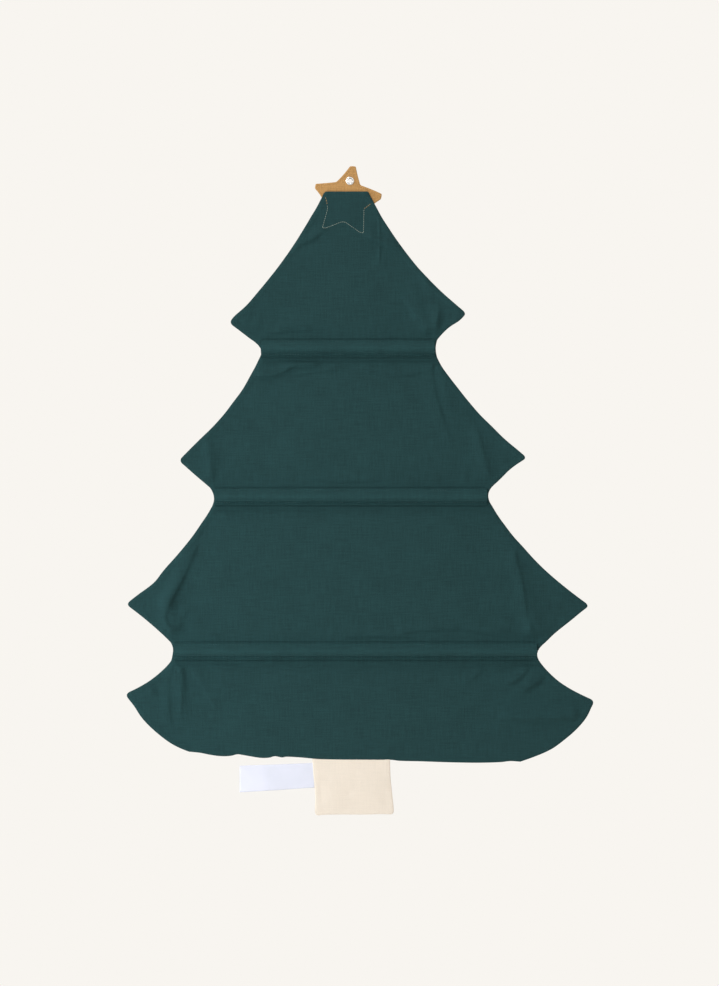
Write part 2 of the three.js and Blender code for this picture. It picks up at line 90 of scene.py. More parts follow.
# For each tier, how far out and how far below its top the points of either side lie
Bough = namedtuple("Bough", "shoulder slope tip under foot")
BOUGHS = [
    {LEFT: Bough(34.5, (88.5, 104.0), (167.0, 182.4), (151.9, 193.6), 137.0),
     RIGHT: Bough(25.1, (78.3, 105.0), (162.5, 169.5), (135.6, 186.9), 120.9)},
    {LEFT: Bough(125.5, (159.6, 73.6), (236.3, 142.4), (217.3, 159.6), 194.2),
     RIGHT: Bough(121.3, (163.3, 72.6), (245.3, 138.8), (209.8, 158.8), 194.3)},
    {LEFT: Bough(191.0, (227.6, 68.0), (310.1, 135.8), (275.8, 160.2), 248.7),
     RIGHT: Bough(196.8, (234.6, 68.4), (331.8, 137.9), (295.1, 162.4), 269.5)},
    {LEFT: Bough(247.1, (267.6, 27.6), (311.5, 45.8), (276.0, 107.0), 221.0),
     RIGHT: Bough(261.9, (282.4, 32.8), (340.0, 55.5), (316.3, 112.3), 235.6)},
]
CASING_ENDS = [{LEFT: 124.5, RIGHT: 118.6}, {LEFT: 188.6, RIGHT: 191.3}, {LEFT: 244.3, RIGHT: 260.0}]
# The lowest seam, from left to right: x and how far it lies above the level of the trunk's seam
LOWEST_SEAM = [(221, 10.5), (207, 9.0), (194, 6.4), (180, 4.5), (166, 4.7), (156, 7.0), (148, 6.0),
               (125, 2.2), (112, 2.3), (104, 4.4), (94, 2.6), (88, 3.6), (69, 2.7), (41, 0.2), (14, -0.9),
               (-14, -1.3), (-42, -1.7), (-56, -0.6), (-70, -2.1), (-97, -2.7), (-125, -3.7), (-152, -4.4),
               (-180, -4.7), (-208, -3.9), (-222, -2.4), (-235.6, -3.2)]
# Where the turned seam pulls in or lets out: side, height, half of the length, and how far out
SEAM_BUMPS = [(LEFT, -188, 9, 2.2), (RIGHT, -194, 6, 3.2), (LEFT, -232, 12, -1.0), (RIGHT, -262, 16, -1.2),
              (LEFT, -366, 22, 2.2), (LEFT, -290, 26, -1.0), (RIGHT, -415, 14, 3.4), (RIGHT, -500, 24, 1.4),
              (LEFT, -557, 13, -4.6), (RIGHT, -610, 16, 2.6), (RIGHT, -640, 10, 1.6), (LEFT, -657, 9, 1.6),
              (LEFT, -727, 10, -1.6), (RIGHT, -728, 10, -1.6), (RIGHT, -790, 12, 3.6), (LEFT, -784, 12, 1.6)]
TIP_ABOVE, TIP_BELOW = 8.0, 7.0  # how much of a bough's edge on either side of its tip is rounded off
OUTLINE_STEP = 2.5
LIT_FROM = (0.5, 0.87)  # to the left and up, the side on which a crease is shallow


def smoothstep(value, low, high):
    share = np.clip((value - low) / (high - low), 0, 1)
    return share * share * (3 - 2 * share)


def quadratic(start, control, end, steps):
    """Points of a quadratic curve."""
    start, control, end = (np.array(point, float) for point in (start, control, end))
    t = np.linspace(0, 1, steps + 1)[:, None]
    return (1 - t) ** 2 * start + 2 * t * (1 - t) * control + t ** 2 * end


def reach(path):
    """The length of a path up to each of its points."""
    return np.concatenate([[0], np.cumsum(np.linalg.norm(np.diff(path, axis=0), axis=1))])


def stretch(path, start, end, step):
    """The part of a path between two distances along it, with a point at each step."""
    distances = np.linspace(start, end, max(2, round((end - start) / step) + 1))
    return np.column_stack([np.interp(distances, reach(path), axis) for axis in np.asarray(path).T])


def flowing(points, step):
    """A smooth curve through some points, with a point at each step."""
    points = np.array(points, float)
    before, after = 2 * points[0] - points[1], 2 * points[-1] - points[-2]
    knots = np.vstack([before, points, after])
    t = np.linspace(0, 1, 12, endpoint=False)[:, None]
    parts = [0.5 * (2 * b + (c - a) * t + (2 * a - 5 * b + 4 * c - d) * t ** 2
                    + (3 * b - a - 3 * c + d) * t ** 3)
             for a, b, c, d in zip(knots, knots[1:], knots[2:], knots[3:])]
    path = np.vstack(parts + [points[-1:]])
    return stretch(path, 0, reach(path)[-1], step)


def unevenness(x, z, cell, seed):
    """Soft random hills and hollows between -1 and 1, about one for each cell."""
    size = 160
    hills = np.random.default_rng(seed).uniform(-1, 1, (size, size))
    u, v = np.asarray(x, float) / cell + size / 2, np.asarray(z, float) / cell + 0.75 * size
    column, row = np.floor(u).astype(int), np.floor(v).astype(int)
    right, below = smoothstep(u - column, 0, 1), smoothstep(v - row, 0, 1)
    column, row = np.clip(column, 0, size - 2), np.clip(row, 0, size - 2)
    upper = hills[row, column] * (1 - right) + hills[row, column + 1] * right
    lower = hills[row + 1, column] * (1 - right) + hills[row + 1, column + 1] * right
    return upper * (1 - below) + lower * below


def nearest(path, x, z, far=40.0):
    """How far each place lies from a path, up to far, how far along it the nearest point lies, and whether
    the place is on the side of the path that faces up and to the left."""
    best, along, lit = np.full(x.shape, far), np.zeros(x.shape), np.ones(x.shape, bool)
    for (ax, az), (bx, bz), start in zip(path, path[1:], reach(path)):
        if min(az, bz) > z.max() + far or max(az, bz) < z.min() - far:
            continue
        run, rise = bx - ax, bz - az
        square = max(run * run + rise * rise, 1e-9)
        share = np.clip(((x - ax) * run + (z - az) * rise) / square, 0, 1)
        distance = np.hypot(x - ax - share * run, z - az - share * rise)
        closer = distance < best
        best = np.where(closer, distance, best)
        along = np.where(closer, start + share * math.sqrt(square), along)
        facing = 1 if LIT_FROM[1] * run - LIT_FROM[0] * rise > 0 else -1
        lit = np.where(closer, facing * (run * (z - az) - rise * (x - ax)) > 0, lit)
    return best, along, lit


def bough_side(shape, top, bottom, side):
    """One side of a tier: a long slope, the blunt tip of the bough, and its underside."""
    slope = quadratic((shape.shoulder, 0), shape.slope, shape.tip, 60)
    under = quadratic(shape.tip, shape.under, (shape.foot, top - bottom), 60)
    slope = stretch(slope, 0, reach(slope)[-1] - TIP_ABOVE, OUTLINE_STEP)
    under = stretch(under, TIP_BELOW, reach(under)[-1], OUTLINE_STEP)
    nose = quadratic(slope[-1], shape.tip, under[0], 10)
    points = np.vstack([slope, nose[1:-1], under])
    return np.column_stack([side * points[:, 0], top - points[:, 1]])


def tree_side(side):
    """One side of the tree from its top to its foot, with the short curves past the casings."""
    parts = []
    for tier, shapes in enumerate(BOUGHS):
        bottom = TIER_BOTTOMS[tier]
        if tier == 3:
            bottom += LOWEST_SEAM[0 if side == LEFT else -1][1]
        parts.append(bough_side(shapes[side], TIER_TOPS[tier], bottom, side))
        if tier < 3:
            foot = parts[-1][-1]
            shoulder = np.array([side * BOUGHS[tier + 1][side].shoulder, TIER_TOPS[tier + 1]])
            middle = np.array([side * CASING_ENDS[tier][side], (foot[1] + shoulder[1]) / 2])
            parts.append(quadratic(foot, 2 * middle - (foot + shoulder) / 2, shoulder, 10)[1:-1])
    path = np.vstack(parts)
    # The turned seam is never quite even.
    height = path[:, 1].copy()
    path[:, 0] += 0.5 * unevenness(height, height * 0, 17, 3 + side) * smoothstep(TREE_TOP - height, 4, 30)
    for bump_side, middle, half_length, out in SEAM_BUMPS:
        if bump_side == side:
            path[:, 0] += side * out * np.exp(-((height - middle) / half_length) ** 2)
    return path


tree_sides = {side: tree_side(side) for side in (LEFT, RIGHT)}
# The corners of the top edge: the left one is cut off round, the right one is almost square.
# Where each starts on the top edge, where it would be if it were sharp, and how far down it ends
TOP_CORNERS = {LEFT: (31.6, 36.072, 5.2), RIGHT: (-24.1, -25.734, 2.4)}
for side, (start, sharp, end) in TOP_CORNERS.items():
    kept = tree_sides[side][tree_sides[side][:, 1] < TREE_TOP - end]
    corner = quadratic((start, TREE_TOP), (sharp, TREE_TOP), kept[0], 8)
    tree_sides[side] = np.vstack([corner[:-1], kept])
lowest_seam = flowing([(x, TREE_BOTTOM + rise) for x, rise in LOWEST_SEAM], OUTLINE_STEP)
tree_outline = np.vstack([tree_sides[LEFT], lowest_seam[1:-1], tree_sides[RIGHT][::-1], tree_sides[LEFT][:1]])


def edge_place(path, height):
    """How far out a side edge lies at some height."""
    return np.interp(-height, -path[:, 1], path[:, 0])


def foot_place(path, x):
    """How high a lower edge, which runs from left to right, lies at some place."""
    return np.interp(-x, -path[:, 0], path[:, 1])


def heights(top, bottom, step):
    """Heights from the top down, as far apart as step says for each."""
    places = [top]
    while places[-1] - 1.5 * step(places[-1]) > bottom:
        places.append(places[-1] - step(places[-1]))
    return np.array(places + [bottom])


EDGE_STEPS = 0.075 * np.arange(11) * np.arange(1, 12)  # closer and closer together towards an edge


def across(left, right, count):
    """Places from the left edge to the right one, closer together beside the edges."""
    middle = np.linspace(left - EDGE_STEPS[-1], right + EDGE_STEPS[-1], count + 1)[1:-1]
    return np.concatenate([left - EDGE_STEPS, middle, right + EDGE_STEPS[::-1]])


# Folds that run through both layers of the boughs: start, end, height and width
FOLDS = [
    ((-106, -205), (-86, -145), 2.6, 9), ((-120, -203), (-124, -173), 2.0, 7),
    ((39, -69), (74, -91), 1.4, 7), ((-30, -77), (-64, -93), 1.4, 7),
    ((192, -410), (196, -357), 2.4, 10), ((-193, -411), (-176, -353), 2.8, 10),
    ((-126, -265), (-140, -315), 1.6, 9),
    ((246, -626), (254, -580), 3.4, 10), ((252, -584), (226, -512), 3.2, 10),
    ((-260, -626), (-226, -520), 3.2, 11),
    ((243, -676), (230, -730), 2.8, 9), ((-258, -672), (-236, -708), 2.8, 9),
    ((-306, -738), (-226, -744), 2.6, 10),
]
FIELD_HALF = [83, 171, 215, 215]  # half the width that the pockets of each tier keep flat
BOUGH_LIFT = 3.5  # how far the tip of a bough bends back towards the wall


def calm(z, tier, fade=FOLD_FADE):
    """Nought beside the folds of a tier, and one where its cloth hangs free."""
    above = smoothstep(TIER_TOPS[tier] - z, FOLD_FLAT, fade) if tier else 1.0
    below = smoothstep(z - TIER_BOTTOMS[tier], FOLD_FLAT, fade) if tier < 3 else 1.0
    return above * below


def drape(x, z, tier):
    """How far both layers of a tier stand back from flat."""
    tips = np.where(x > 0, BOUGHS[tier][LEFT].tip[0], BOUGHS[tier][RIGHT].tip[0])
    lift = BOUGH_LIFT * smoothstep(np.abs(x), FIELD_HALF[tier], tips)
    for start, end, height, width in FOLDS:
        distance, along, _ = nearest(np.array([start, end], float), x, z)
        share = along / math.dist(start, end)
        lift += height * (1 - 0.5 * share) * np.exp(-(distance / width) ** 2)
    if tier == 3:
        lift = lift * smoothstep(z - TIER_BOTTOMS[tier], FOLD_FLAT, FOLD_FADE)
    return lift * calm(z, tier)


# Creases in the back layer alone: height, width and route
# Those with a minus sign are steep on one side, and the others are round ridges.
SHALLOW_SIDE = 3.2  # how much wider a crease is on its shallow side
CREASE_REACH = 12  # how far from its line a crease is followed, in widths
CREASE_ENDS = (-4, 14)  # where a crease begins to rise from either end, and where it has its full height
CREASES = [
    (-2.0, 2.8, [(38, -69), (51, -80), (65, -86), (72, -92)]),
    (-3.0, 3.0, [(-16, -74), (-34, -83), (-50, -88), (-63, -95)]),
    (-1.2, 2.6, [(16, -62), (2, -60), (-8, -68)]),
    (0.9, 1.9, [(-40, -40), (-41, -80), (-40, -117)]),
    (-2.0, 3.0, [(-74, -161), (-94, -190), (-110, -216)]),
    (1.2, 8, [(-103, -121), (-111, -165), (-117, -205)]),
    (-1.8, 2.8, [(-123, -176), (-119, -214)]),
    (-1.8, 2.6, [(111, -211), (84, -207), (55, -207)]),
    (-1.0, 2.4, [(104, -203), (70, -201), (52, -205)]),
    (-3.8, 2.8, [(134, -270), (118, -270), (106, -269), (93, -264), (80, -257), (66, -255), (40, -255)]),
    (-1.6, 2.4, [(30, -254), (-12, -252), (-62, -253), (-111, -251)]),
    (-1.6, 2.6, [(84, -268), (69, -267), (38, -262), (7, -260)]),
    (-1.4, 2.6, [(-10, -262), (-40, -266), (-80, -268), (-106, -262)]),
    (-2.6, 2.8, [(-119, -248), (-112, -259)]),
    (-1.2, 3.4, [(-112, -250), (-118, -299), (-139, -363)]),
    (-1.1, 3.0, [(-176, -345), (-194, -418)]),
    (0.9, 5, [(198, -359), (191, -414)]),
    (-1.6, 2.8, [(184, -462), (160, -469), (138, -475)]),
    (-2.0, 3.4, [(212, -502), (230, -546), (253, -590), (256, -608), (245, -630)]),
    (-0.9, 2.6, [(222, -588), (231, -604), (238, -626)]),
    (-2.0, 3.0, [(-226, -511), (-238, -560), (-244, -600), (-256, -634)]),
    (0.9, 2.8, [(243, -668), (233, -684), (235, -745)]),
    (-1.3, 2.6, [(241, -668), (231, -684), (229, -712)]),
    (-1.0, 2.8, [(246, -668), (252, -700), (249, -756)]),
    (-2.0, 3.0, [(277, -696), (267, -715)]),
    (-1.2, 3.0, [(221, -670), (184, -733)]),
    (-1.4, 2.6, [(196, -671), (175, -674), (152, -671)]),
    (-3.4, 3.0, [(-214, -696), (-228, -692), (-240, -682), (-248, -670)]),
    (-2.8, 3.0, [(-240, -706), (-256, -696), (-270, -684)]),
    (-1.8, 3.0, [(-166, -691), (-190, -671)]),
    (-2.4, 3.6, [(-204, -743), (-262, -744), (-318, -740)]),
    (-0.9, 3, [(-7, -782), (-97, -783)]),
    (-1.6, 2.6, [(12, -634), (-40, -630), (-92, -634)]),
    (-1.6, 2.6, [(-60, -626), (-140, -620), (-214, -629)]),
    (-1.0, 2.4, [(60, -412), (10, -416), (-52, -414)]),
    (-1.0, 2.4, [(150, -460), (96, -463), (40, -460)]),
]


def creases(x, z):
    """The relief of the creases. A crease is steep on its side away from the light, a ridge is round."""
    relief = np.zeros(x.shape)
    for height, width, route in CREASES:
        route = flowing(route, 4)
        length = reach(route)[-1]
        far = CREASE_REACH * width
        distance, along, lit = nearest(route, x, z, far)
        spread = np.where(lit, SHALLOW_SIDE * width, width) if height < 0 else width
        taper = smoothstep(along, *CREASE_ENDS) * smoothstep(length - along, *CREASE_ENDS)
        waver = 1.0 + 0.45 * unevenness(along, along * 0, 14, 25)
        section = np.exp(-(distance / spread) ** 2) * (distance < far)
        relief += abs(height) * waver * (0.15 + 0.85 * taper) * section
    return relief


SEAM_EDGE = 0.32  # half of the thickness at the very edge of a turned seam
SEAM_ROUND = 2.2  # how far in from its edge it is round
ALLOWANCE_LIFT = 0.24  # how far the allowance inside a seam lifts the cloth
ALLOWANCE_OUTER, ALLOWANCE_INNER = (2.0, 3.4), (6.5, 8.5)  # where the allowance begins and ends


def rounded(distance, radius):
    """The rise of a round edge, from nought at the edge to one at its radius."""
    return np.sqrt(np.clip(1 - (1 - np.clip(distance / radius, 0, 1)) ** 2, 0, 1))


def seam_rim(distance, depth):
    """How far a face stands from the middle near a turned seam, which holds its allowance inside."""
    allowance = smoothstep(distance, *ALLOWANCE_OUTER) - smoothstep(distance, *ALLOWANCE_INNER)
    return SEAM_EDGE + (depth - SEAM_EDGE) * rounded(distance, SEAM_ROUND) + ALLOWANCE_LIFT * allowance


def new_piece(name, bm, finish):
    """A piece of the object from a bmesh in millimetres, with its flat places as its map."""
    mesh = bpy.data.meshes.new(name)
    bmesh.ops.scale(bm, vec=(MM, MM, MM), verts=bm.verts)
    bm.to_mesh(mesh)
    bm.free()
    mesh.polygons.foreach_set("use_smooth", np.ones(len(mesh.polygons), bool))
    places = np.zeros(len(mesh.vertices) * 3, np.float32)
    mesh.vertices.foreach_get("co", places)
    corners = np.zeros(len(mesh.loops), np.int32)
    mesh.loops.foreach_get("vertex_index", corners)
    flat = places.reshape(-1, 3)[corners][:, (0, 2)]
    mesh.uv_layers.new(name="cloth").data.foreach_set("uv", flat.ravel())
    mesh.materials.append(finish)
    made = bpy.data.objects.new(name, mesh)
    bpy.context.scene.collection.objects.link(made)
    return made


def second_face(bm):
    """Closes the faces of a bmesh into a sheet with a second face, and gives the points of that face."""
    made = bmesh.ops.extrude_face_region(bm, geom=bm.faces[:], use_keep_orig=True)
    return {item for item in made["geom"] if isinstance(item, bmesh.types.BMVert)}


def sheet_mesh(outer, inner, butts=()):
    """A closed sheet between two grids of points. Its end rows that meet another sheet keep a sharp edge."""
    rows, columns = outer.shape[0] - 1, outer.shape[1] - 1
    bm = bmesh.new()
    bmesh.ops.create_grid(bm, x_segments=columns, y_segments=rows, size=0.5)
    second = second_face(bm)
    row_of = {}
    for vert in bm.verts:
        column, row = round((vert.co.x + 0.5) * columns), round((0.5 - vert.co.y) * rows)
        vert.co = (inner if vert in second else outer)[row, column]
        row_of[vert] = row
    for edge in bm.edges:
        ends = {row_of[vert] for vert in edge.verts}
        if len(ends) == 1 and ends <= set(butts):
            edge.smooth = False
    bmesh.ops.recalc_face_normals(bm, faces=bm.faces)
    return bm


def plain_finish(name):
    """A material with no pattern yet, and its shader."""
    material = bpy.data.materials.new(name)
    material.use_nodes = True
    return material, material.node_tree.nodes["Principled BSDF"]


def feed(node, inputs):
    """Gives a node's inputs their values, or links them to what comes out of other nodes."""
    for name, value in inputs.items():
        if isinstance(value, bpy.types.NodeSocket):
            node.id_data.links.new(value, node.inputs[name])
        else:
            node.inputs[name].default_value = value


def made_by(owner, kind, inputs, output=0, **settings):
    """What comes out of a new node of a material or a surround."""
    node = owner.node_tree.nodes.new("ShaderNode" + kind)
    for setting, value in settings.items():
        setattr(node, setting, value)
    feed(node, inputs)
    return node.outputs[output]


def noise(finish, place, scale, detail=2.0, stretch=(1, 1, 1)):
    """Soft random patches, which a stretch above one makes shorter along an axis."""
    stretched = made_by(finish, "Mapping", {"Vector": place, "Scale": stretch})
    return made_by(finish, "TexNoise", {"Vector": stretched, "Scale": scale, "Detail": detail})


def raised(finish, pattern, strength, depth, surface=None):
    """A surface that a pattern raises by a depth in millimetres, on top of an earlier surface."""
    inputs = {"Height": pattern, "Strength": strength, "Distance": depth * MM}
    if surface:
        inputs["Normal"] = surface
    return made_by(finish, "Bump", inputs)


YARN_PITCH = 0.55


def woven(name, colour, roughness, yarn_gap_shade, mottle, sheen, sheen_tint=None):
    """Plain-woven cloth: yarns over and under each other, thicker yarns here and there, uneven dye, and
    painted shade between the yarns.
    """
    material, shader = plain_finish(name)
    place = made_by(material, "UVMap", {}, uv_map="cloth")

    def calculated(operation, *values):
        return made_by(material, "Math", dict(enumerate(values)), operation=operation)

    yarns = []
    for axis in "XY":
        along = made_by(material, "SeparateXYZ", {"Vector": place}, axis)
        wave = calculated("SINE", calculated("MULTIPLY", along, math.pi / (YARN_PITCH * MM)))
        yarns.append(calculated("ABSOLUTE", wave))
    over = made_by(material, "TexChecker", {"Vector": place, "Scale": 1 / (YARN_PITCH * MM),
                                            "Color1": (1, 1, 1, 1), "Color2": (0, 0, 0, 1)}, "Fac")
    relief = made_by(material, "Mix", {"Factor": over, "A": yarns[0], "B": yarns[1]}, data_type="FLOAT")
    across_slub = noise(material, place, 160, stretch=(0.25, 4, 1))
    down_slub = noise(material, place, 160, stretch=(4, 0.25, 1))
    dye = noise(material, place, 28, detail=4)
    fuzz = noise(material, place, 900, detail=1)

    # The colour follows uneven dye, thick yarns and fuzz, and the relief of the yarns darkens it between them
    # as painted shade.
    shade = 1.0
    for pattern, middle, strength in (
            (dye, 0.5, 0.8 * mottle), (across_slub, 0.5, 1.6 * mottle), (down_slub, 0.5, 1.6 * mottle),
            (fuzz, 0.5, 2.2 * mottle), (relief, 0.6, yarn_gap_shade)):
        off_middle = calculated("SUBTRACT", pattern, middle)
        shade = calculated("ADD", shade, calculated("MULTIPLY", off_middle, strength))
    fuzzy = calculated("MULTIPLY", calculated("SUBTRACT", fuzz, 0.5), 0.1)
    surface = None
    for pattern, depth in ((relief, 0.12), (across_slub, 0.10), (down_slub, 0.10), (dye, 0.25)):
        surface = raised(material, pattern, 0.6, depth, surface)
    feed(shader, {
        "Base Color": made_by(material, "VectorMath", {0: colour, "Scale": shade}, operation="SCALE"),
        "Roughness": calculated("ADD", fuzzy, roughness),
        "Specular IOR Level": 0.15,
        "Sheen Weight": sheen, "Sheen Roughness": 0.45, "Sheen Tint": (*(sheen_tint or colour), 1),
        "Normal": surface,
    })
    return material


GREEN, GREEN_SHEEN = (0.0132, 0.0437, 0.045), (0.25, 0.6, 0.65)
green_canvas = woven("green_canvas", GREEN, 0.88, yarn_gap_shade=0.25, mottle=0.3, sheen=0.06, sheen_tint=GREEN_SHEEN)


def cloth_grid(levels, sides, side_feet, count, foot=None):
    """Places in the plane of a cloth, in rows from left to right, the last of them along its foot."""
    top, bottom = levels[0], levels[-1]
    rows = []
    for level in levels:
        share = (top - level) / (top - bottom)
        ends = [edge_place(sides[side], top + share * (side_feet[side] - top)) for side in (LEFT, RIGHT)]
        x = across(*ends, count)
        z = np.full(x.shape, level) if foot is None else top + share * (foot_place(foot, x) - top)
        rows.append((x, z))
    return np.array([x for x, z in rows]), np.array([z for x, z in rows])


def panel_grid(tier, top, bottom, step, spacing):
    """Places in the plane of a tier, or of the stretch above it, about as far apart as spacing says."""
    levels = heights(top, bottom, step)
    widths = edge_place(tree_sides[LEFT], levels) - edge_place(tree_sides[RIGHT], levels)
    count = round((widths.max() - 2 * EDGE_STEPS[-1]) / spacing)
    if bottom > TREE_BOTTOM:
        return cloth_grid(levels, tree_sides, {LEFT: bottom, RIGHT: bottom}, count)
    side_feet = {side: foot_place(lowest_seam, side * BOUGHS[tier][side].foot) for side in (LEFT, RIGHT)}
    return cloth_grid(levels, tree_sides, side_feet, count, lowest_seam)


GROOVE_DEPTH, GROOVE_HALF = 0.8, 0.75


def fold_grooves(x, z):
    """The pressed grooves in the back where the boughs meet the casings."""
    groove = np.zeros(x.shape)
    for casing in CASINGS:
        ends = CASING_ENDS[casing - 1]
        inside = smoothstep(ends[LEFT] - x, 0, 5) * smoothstep(x + ends[RIGHT], 0, 5)
        for fold in (TIER_BOTTOMS[casing - 1], TIER_TOPS[casing]):
            groove += GROOVE_DEPTH * inside * np.exp(-((z - fold) / GROOVE_HALF) ** 2)
    return groove


def seam_pucker(turns, margin, height, width):
    """The small gathers that the thread of a turned seam draws into the cloth beside it."""
    return height * np.sin(turns) * np.exp(-(margin / width) ** 2) * smoothstep(margin, 0.5, 2.5)


PUCKER_PITCH, PUCKER_HEIGHT, PUCKER_WIDTH = 9.5, 0.16, 7
THINNEST = 0.3  # the least that a face stands from the middle of the panel


def outer_depth(x, z, tier, face):
    """How far the outer face of one layer of the panel stands from its middle."""
    margin, along, _ = nearest(tree_outline, x, z)
    rim = seam_rim(margin, CLOTH_FACE)
    if tier is None:
        return rim - (fold_grooves(x, z) if face > 0 else 0)
    turns = 2 * math.pi * along / PUCKER_PITCH + 3 * unevenness(along, along * 0, 31, 8)
    pucker = seam_pucker(turns, margin, PUCKER_HEIGHT, PUCKER_WIDTH)
    soft = 0.75 * unevenness(x, z, 62, 21) + 0.35 * unevenness(x, z, 27, 22) + 0.12 * unevenness(x, z, 11, 23)
    if face > 0:
        # Just above a casing the cloth is gathered a little by the seam.
        above_casing = smoothstep(z - TIER_BOTTOMS[tier], 50, 5) * (tier < 3)
        gather = above_casing * smoothstep(TIER_TOPS[tier] - z, 10, 30)
        relief = soft * smoothstep(margin, 0, 10) + 0.6 * gather * unevenness(x, z * 0.5, 8, 24) + pucker
        creased = creases(x, z) * smoothstep(margin, 0, 6) * calm(z, tier, CREASE_FADE)
        relief = relief * calm(z, tier) + creased
        return np.maximum(rim + relief - fold_grooves(x, z), THINNEST)
    # The cloth under the pockets lies flat against them.
    loose = smoothstep(np.abs(x), FIELD_HALF[tier], FIELD_HALF[tier] + 25)
    relief = (0.5 * soft * loose * smoothstep(margin, 0, 10) + pucker) * calm(z, tier)
    return np.clip(rim + relief, THINNEST, CLOTH_FACE + 0.06 + 2 * loose)


def panel_faces(x, z, tier, face):
    """The outer and inner face of one layer of the panel, with its drape, creases and seam."""
    lift = drape(x, z, tier) if tier is not None else np.zeros(x.shape)
    outer = outer_depth(x, z, tier, face)
    inner = np.minimum(CLOTH_INSIDE, outer - 0.1)
    return [np.stack([x, lift + face * depth, z], axis=2) for depth in (outer, inner)]


FOLD_STEP, FOLD_STEP_REACH = 0.45, 3.2  # how close rows of points lie, and how far from a fold they do
EDGE_STEP = 0.15  # how close they lie beside a free edge
TIP_STEP, TIP_STEP_REACH = 1.5, 10  # and beside the tip of a bough


def near_edge_step(distance, base):
    return float(np.clip(EDGE_STEP + 0.35 * abs(distance), EDGE_STEP, base))


def tier_step(tier, base):
    """How far apart the rows of a tier's cloth lie: close at its folds, its free edges and its tips."""
    tips = [TIER_TOPS[tier] - BOUGHS[tier][side].tip[1] for side in (LEFT, RIGHT)]

    def step(height):
        size = base
        if tier == 0:
            size = min(size, near_edge_step(TREE_TOP - height, base))
        if tier == 3:
            size = min(size, near_edge_step(height - TREE_BOTTOM, base))
        elif abs(height - TIER_BOTTOMS[tier]) < FOLD_STEP_REACH:
            size = FOLD_STEP
        if min(abs(height - tip) for tip in tips) < TIP_STEP_REACH:
            size = min(size, TIP_STEP)
        return size
    return step


# How far apart the points of each tier's cloth lie, and those of the stretches under the casings
POINT_SPACING = {"back": ((1.5, 1.6, 1.75, 1.55), 1.55), "front": ((4.0, 4.0, 4.0, 4.0), 4.0)}
for side_name, face in (("back", 1), ("front", -1)):
    tier_spacings, casing_spacing = POINT_SPACING[side_name]
    for tier, spacing in enumerate(tier_spacings):
        top = TREE_TOP if tier == 0 else TIER_TOPS[tier] - BUTT
        bottom = TIER_BOTTOMS[tier] - (0 if tier == 3 else BUTT)
        x, z = panel_grid(tier, top, bottom, tier_step(tier, spacing), spacing)
        butts = [] if tier == 0 else [0]
        butts += [] if tier == 3 else [x.shape[0] - 1]
        canvas_mesh = sheet_mesh(*panel_faces(x, z, tier, face), butts)
        cloth = new_piece(f"tier_{tier + 1}_{side_name}_canvas", canvas_mesh, green_canvas)
        if tier == 3:
            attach(cloth, "tier_4")
        else:
            fold = TIER_BOTTOMS[tier]
            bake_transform(cloth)
        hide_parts(f"tier_{tier + 1}_{side_name}_cloth")
    for casing in CASINGS:
        top, bottom = TIER_BOTTOMS[casing - 1] - BUTT, TIER_TOPS[casing] - BUTT
        fold = TIER_TOPS[casing]
        x, z = panel_grid(casing, top, bottom,
                          lambda height: FOLD_STEP if abs(height - fold) < FOLD_STEP_REACH else casing_spacing,
                          casing_spacing)
        canvas_mesh = sheet_mesh(*panel_faces(x, z, None, face), [0, x.shape[0] - 1])
        cloth = new_piece(f"casing_{casing}_{side_name}_canvas", canvas_mesh, green_canvas)
        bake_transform(cloth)
        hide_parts(f"spine_{casing}_{side_name}_cloth")

# The stitches: short straight lockstitches of twisted thread, each a slim pill that sinks a little into
# the cloth. Like rows of them are one piece, in thread that matches the cloth.
STITCH_PITCH, STITCH_LENGTH, THREAD_RADIUS = 3.4, 2.7, 0.24


def blended(finish, share, first, second):
    """A colour between two others."""
    return made_by(finish, "Mix", {"Factor": share, "A": first, "B": second}, "Result", data_type="RGBA")


def thread(name, colour):
    """Twisted polyester thread: fine slanting plies and a soft shine."""
    material, shader = plain_finish(name)
    place = made_by(material, "TexCoord", {}, "Object")
    slanting = made_by(material, "Mapping", {"Vector": place, "Rotation": (0.3, 0.9, 0.6)})
    plies = made_by(material, "TexWave", {"Vector": slanting, "Scale": 900, "Distortion": 1}, "Fac")
    dark, light = [0.8 * part for part in colour], [min(1, 1.2 * part) for part in colour]
    feed(shader, {
        "Base Color": blended(material, noise(material, place, 220), (*dark, 1), (*light, 1)),
        "Roughness": 0.55,
        "Normal": raised(material, plies, 0.5, 0.05),
    })
    return material


def stitches(name, rows, finish, pitch=STITCH_PITCH, radius=THREAD_RADIUS):
    """Stitches along each of some rows, which are lists of points in space."""
    bm = bmesh.new()
    for row in rows:
        row = np.asarray(row, float)
        total = reach(row)[-1]
        count = max(1, int(total / pitch))
        places = stretch(row, 0, total, total / count / 2)
        for start, end in zip(places[:-1:2], places[2::2]):
            direction = Vector(end - start)
            if direction.length < 1e-6:
                continue
            turn = direction.to_track_quat("X", "Z").to_matrix().to_4x4()
            size = Matrix.Diagonal((STITCH_LENGTH / 2, radius, radius, 1))
            matrix = Matrix.Translation(Vector((start + end) / 2)) @ turn @ size
            bmesh.ops.create_uvsphere(bm, u_segments=6, v_segments=5, radius=1, matrix=matrix)
    return new_piece(name, bm, finish)


green_thread = thread("green_thread", (0.032, 0.076, 0.078))

# The rod casings: three straight strips of the same canvas across the back, hemmed and topstitched along
# both edges, which leave a tunnel for a rod.
# The rod hangs in the upper part, so the lower stitched edge looks wider.
SLEEVE_INSET = 1.4  # the hemmed ends lie this far inside the panel's edges
SLEEVE_CLOTH = 0.9
FLANGE_FLOOR = 1.45  # the inner side of the stitched edges, just clear of the panel
HEM_HALF = 10.9  # the inner side of the folded hems, from the middle of the casing
SLEEVE_SPACING = 3.2
STITCHES_INSET = 1.5  # the rows of stitches begin this far inside the hemmed ends
